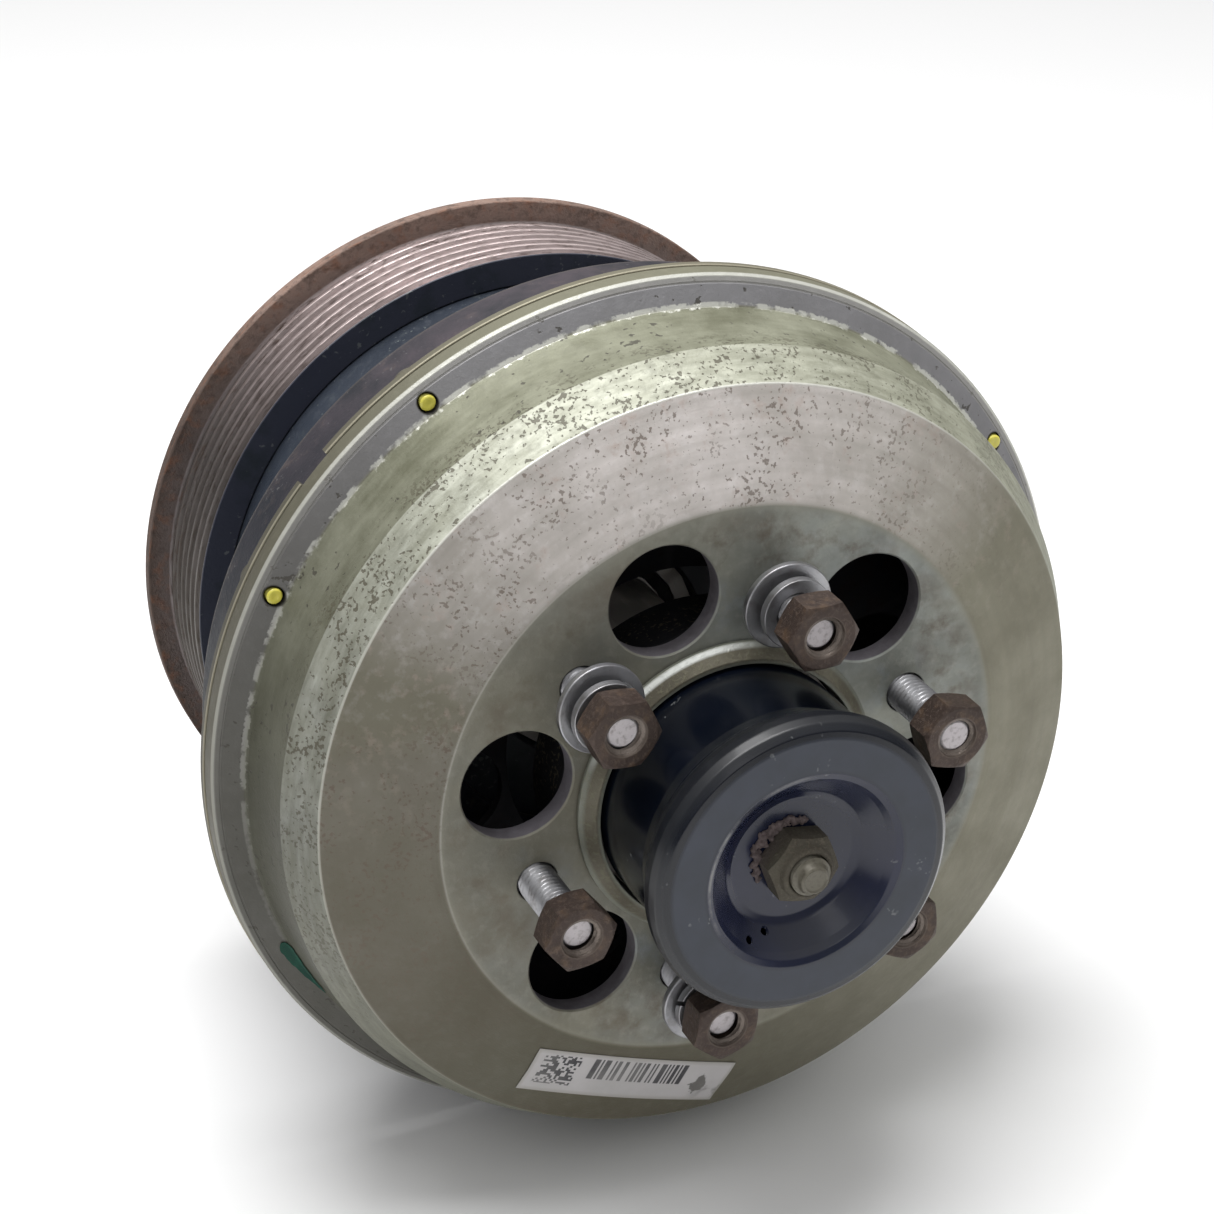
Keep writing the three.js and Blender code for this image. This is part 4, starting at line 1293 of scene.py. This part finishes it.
crustSize = {
    "seed": 11, "lumps": 210, "from": 72, "to": 205, "thickest": 135, "spread": 110, "base": 168.6,
    "radius": 7.4, "reach": 2.4, "outer": 9.2, "lump": 0.2, "lumpSpread": 0.42, "voxel": 0.16,
    "noise": 0.6, "crumble": 0.45}


def makeSealant():
    # small lumps round the nut, melted together
    z = crustSize
    dice = random.Random(z["seed"])
    shape = bmesh.new()
    for k in range(z["lumps"]):
        a = z["from"] + (z["to"] - z["from"]) * dice.random() ** 1.2
        fade = 1.0 - abs(a - z["thickest"]) / z["spread"]
        radius = z["radius"] + z["reach"] * dice.random() * fade
        size = (z["lump"] + z["lumpSpread"] * dice.random() ** 2) * (0.6 + 0.5 * fade)
        pile = 0.45 * size + (z["outer"] - radius) * 0.35 * dice.random()
        centre = polar(radius, a, z["base"] + pile)
        made = bmesh.ops.create_icosphere(shape, subdivisions=2, radius=size * mm)
        bmesh.ops.translate(shape, vec=centre, verts=made["verts"])
    mesh = bpy.data.meshes.new("nutSealant")
    shape.to_mesh(mesh)
    shape.free()
    obj = linked("nutSealant", mesh)
    remesh = obj.modifiers.new("melt", "REMESH")
    remesh.mode = "VOXEL"
    remesh.voxel_size = z["voxel"] * mm
    texture = bpy.data.textures.new("crustNoise", "CLOUDS")
    texture.noise_scale = z["noise"] * mm
    rough = obj.modifiers.new("crumble", "DISPLACE")
    rough.texture = texture
    rough.texture_coords = "LOCAL"
    rough.strength = z["crumble"] * mm
    made = settled(obj, "nutSealant")
    made.data.materials.clear()
    made.data.materials.append(finishes["sealant"])
    made.data.shade_smooth()
    return made


onBody(makeSealant(), "mount_body")


def sheetOver(name, columns, rows, pointAt, thickness, finish):
    # a thin closed sheet laid over a surface, with its own layout in the map "sheet"
    grid = [[pointAt(i / columns, j / rows) for i in range(columns + 1)] for j in range(rows + 1)]
    points, where = [], []
    for lift in (1, 0):
        for j, line in enumerate(grid):
            for i, (point, normal) in enumerate(line):
                points.append(point + normal * thickness * mm * lift)
                where.append((i / columns, j / rows))
    wide, layer = columns + 1, (columns + 1) * (rows + 1)
    faces = []
    for j in range(rows):
        for i in range(columns):
            k = j * wide + i
            faces += [(k, k + 1, k + wide + 1, k + wide),
                      (layer + k + wide, layer + k + wide + 1, layer + k + 1, layer + k)]
    rim = [j * wide for j in range(rows, 0, -1)] + list(range(columns))
    rim += [j * wide + columns for j in range(rows)] + [rows * wide + i for i in range(columns, 0, -1)]
    faces += [(a, layer + a, layer + b, b) for a, b in zip(rim, rim[1:] + rim[:1])]
    mesh = bpy.data.meshes.new(name)
    mesh.from_pydata(points, [], faces)
    layout = mesh.uv_layers.new(name="sheet")
    for loop in mesh.loops:
        layout.data[loop.index].uv = where[loop.vertex_index]
    mesh.materials.append(finish)
    made = linked(name, mesh)
    if volumeOf(mesh) < 0:
        mesh.flip_normals()
    mesh.shade_smooth()
    mesh.set_sharp_from_angle(angle=math.radians(50))
    return made


labelSize = {
    "width": 47.5, "height": 11.5, "centre": (-19.3, -66.2), "turn": -20.5, "thickness": 0.12, "lift": 0.06,
    "curl": 0.5}
faceLine = [row[:2] for row in drumSize["face"]]


def labelPoint(u, v):
    # the label lies on the face, with its corners a little lifted
    z = labelSize
    a = math.radians(z["turn"])
    dx, dz = (u - 0.5) * z["width"], (v - 0.5) * z["height"]
    x = z["centre"][0] + dx * math.cos(a) - dz * math.sin(a)
    zed = z["centre"][1] + dx * math.sin(a) + dz * math.cos(a)
    radius = math.hypot(x, zed)
    curl = z["curl"] * max(0.0, u - 0.9) ** 2 * 100 * v + 0.25 * max(0.0, 0.06 - u) * 10
    ripple = 0.05 * math.sin(u * 31 + v * 2) * math.sin(v * 3.1)
    s = between(faceLine, radius) + z["lift"] + curl * 0.4 + max(0.0, ripple)
    slope = between(faceLine, radius + 0.5) - between(faceLine, radius - 0.5)
    normal = Vector((-slope * x / radius, -1, -slope * zed / radius)).normalized()
    return Vector((x, -s, zed)) * mm, normal


label = sheetOver("partLabel", 72, 16, labelPoint, labelSize["thickness"], finishes["label"])
onBody(label, "fan_hub")

# the radius and s of the drum's surface, by the distance in mm behind the ridge
markSize = {
    "angle": (202.4, 212.8), "centre": (0.9, -0.25), "half": 1.75, "tip": 0.12, "thickness": 0.07,
    "lift": 0.17, "foremost": -1.25,
    "radius": [(-1.3, 88.3), (-0.7, 88.5), (0, 88.95), (0.4, 89.3), (4.4, 93.0)],
    "s": [(-1.3, 108.7), (-0.7, 108.1), (0, 107.48), (0.4, 107.3), (4.4, 105.72)]}


def markPoint(u, v):
    # laid across the ridge, wide at its start and drawn out to a tip
    z = markSize
    along = math.sin(math.pi * min(1.0, u * 5 + 0.03) / 2) ** 0.7
    wide = z["tip"] + (z["half"] - z["tip"]) * along * (1 - u) ** 0.9
    wide *= 1 + 0.06 * math.sin(u * 23) + 0.04 * math.sin(u * 51 + 1)
    across = z["centre"][0] + (z["centre"][1] - z["centre"][0]) * u + (v - 0.5) * 2 * wide
    across = max(z["foremost"], across)
    angle = z["angle"][0] + (z["angle"][1] - z["angle"][0]) * u
    outward = polar(1000, angle).normalized()
    lean = min(1.0, max(0.0, (across + 0.5) / 0.9))
    normal = (outward * (1.0 - 0.62 * lean) + Vector((0, -1, 0)) * (0.25 + 0.67 * lean)).normalized()
    place = polar(between(z["radius"], across), angle, between(z["s"], across))
    return place + normal * z["lift"] * mm, normal


mark = sheetOver("greenMark", 48, 8, markPoint, markSize["thickness"], finishes["green"])
onBody(mark, "fan_hub")
print("marks made")

# the CAD nodes that keep their own mesh, by finish
keptFinishes = {
    "steel": ["rear_bearing_inner", "bearing_spacer", "front_bearing_inner", "spindle_locknut",
              "rear_bearing_outer", "front_bearing_outer"],
    "copper": ["coil_winding"], "lining": ["friction_ring"],
    "rubber": ["rear_bearing_seal", "front_bearing_seal"],
    "armature": [f"armature_post_{k}" for k in (1, 2, 3)],
    "spring": [f"leaf_spring_{k}" for k in (1, 2, 3)],
    "zinc": [f"{name}_{k}" for name in ("coil_screw", "spring_rivet") for k in (1, 2, 3)]}
for look, names in keptFinishes.items():
    for name in names:
        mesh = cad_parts[name].data
        mesh.materials.clear()
        mesh.materials.append(finishes[look])
print("inner pieces finished")

studio = {
    "floorTone": 0.86, "floorReach": 4, "floorRoughness": 0.9, "skyTop": 0.85, "skyEdge": 0.07,
    # lights are (name, place, size in metres, watts)
    "lights": [
        ("keyLight", (-0.16, 0.0, 1.3), 0.9, 20.0),
        ("frontLight", (-0.3, -1.5, 0.9), 0.8, 1.4)],
    "lightAim": (0, -0.1, 0),
    "camera": (-0.2142, -0.5730, 0.2759), "lookBack": (-0.3584, -0.8236, 0.4396), "lens": 83.2, "sensor": 36}

lowest = min(cadBox[0][2], cadBox[1][2])
floorMesh = bpy.data.meshes.new("floor")
reach = studio["floorReach"]
corners = [(x * reach, y * reach, lowest) for x, y in ((-1, -1), (1, -1), (1, 1), (-1, 1))]
floorMesh.from_pydata(corners, [], [(0, 1, 2, 3)])
floor = linked("floor", floorMesh)
floorPaint = bpy.data.materials.new("floorPaint")
floorPaint.use_nodes = True
floorShader = floorPaint.node_tree.nodes["Principled BSDF"]
floorShader.inputs["Base Color"].default_value = [studio["floorTone"]] * 3 + [1]
floorShader.inputs["Roughness"].default_value = studio["floorRoughness"]
floorMesh.materials.append(floorPaint)

world = bpy.data.worlds.new("studioWorld")
world.use_nodes = True
sky = world.node_tree
direction = put(sky, "ShaderNodeTexCoord").outputs["Generated"]
aim = put(sky, "ShaderNodeSeparateXYZ", {0: direction}).outputs["Z"]
glow = put(sky, "ShaderNodeMapRange", {0: aim, 1: 0.0, 2: 0.9, 3: studio["skyEdge"], 4: studio["skyTop"]})
sky.links.new(glow.outputs[0], sky.nodes["Background"].inputs["Strength"])
sky.nodes["Background"].inputs["Color"].default_value = (1, 1, 1, 1)
bpy.context.scene.world = world
for name, place, side, power in studio["lights"]:
    lamp = bpy.data.lights.new(name, "AREA")
    lamp.size, lamp.energy = side, power
    lampObject = bpy.data.objects.new(name, lamp)
    bpy.context.scene.collection.objects.link(lampObject)
    lampObject.location = place
    away = Vector(place) - Vector(studio["lightAim"])
    lampObject.rotation_euler = away.to_track_quat("Z", "Y").to_euler()

camera = bpy.data.objects.new("camera", bpy.data.cameras.new("camera"))
bpy.context.scene.collection.objects.link(camera)
camera.location = studio["camera"]
camera.rotation_euler = Vector(studio["lookBack"]).to_track_quat("Z", "Y").to_euler()
camera.data.lens = studio["lens"]
camera.data.sensor_width = studio["sensor"]
camera.data.clip_start = 0.01
bpy.context.scene.camera = camera
bpy.context.scene.view_settings.view_transform = "Standard"
print("studio made")
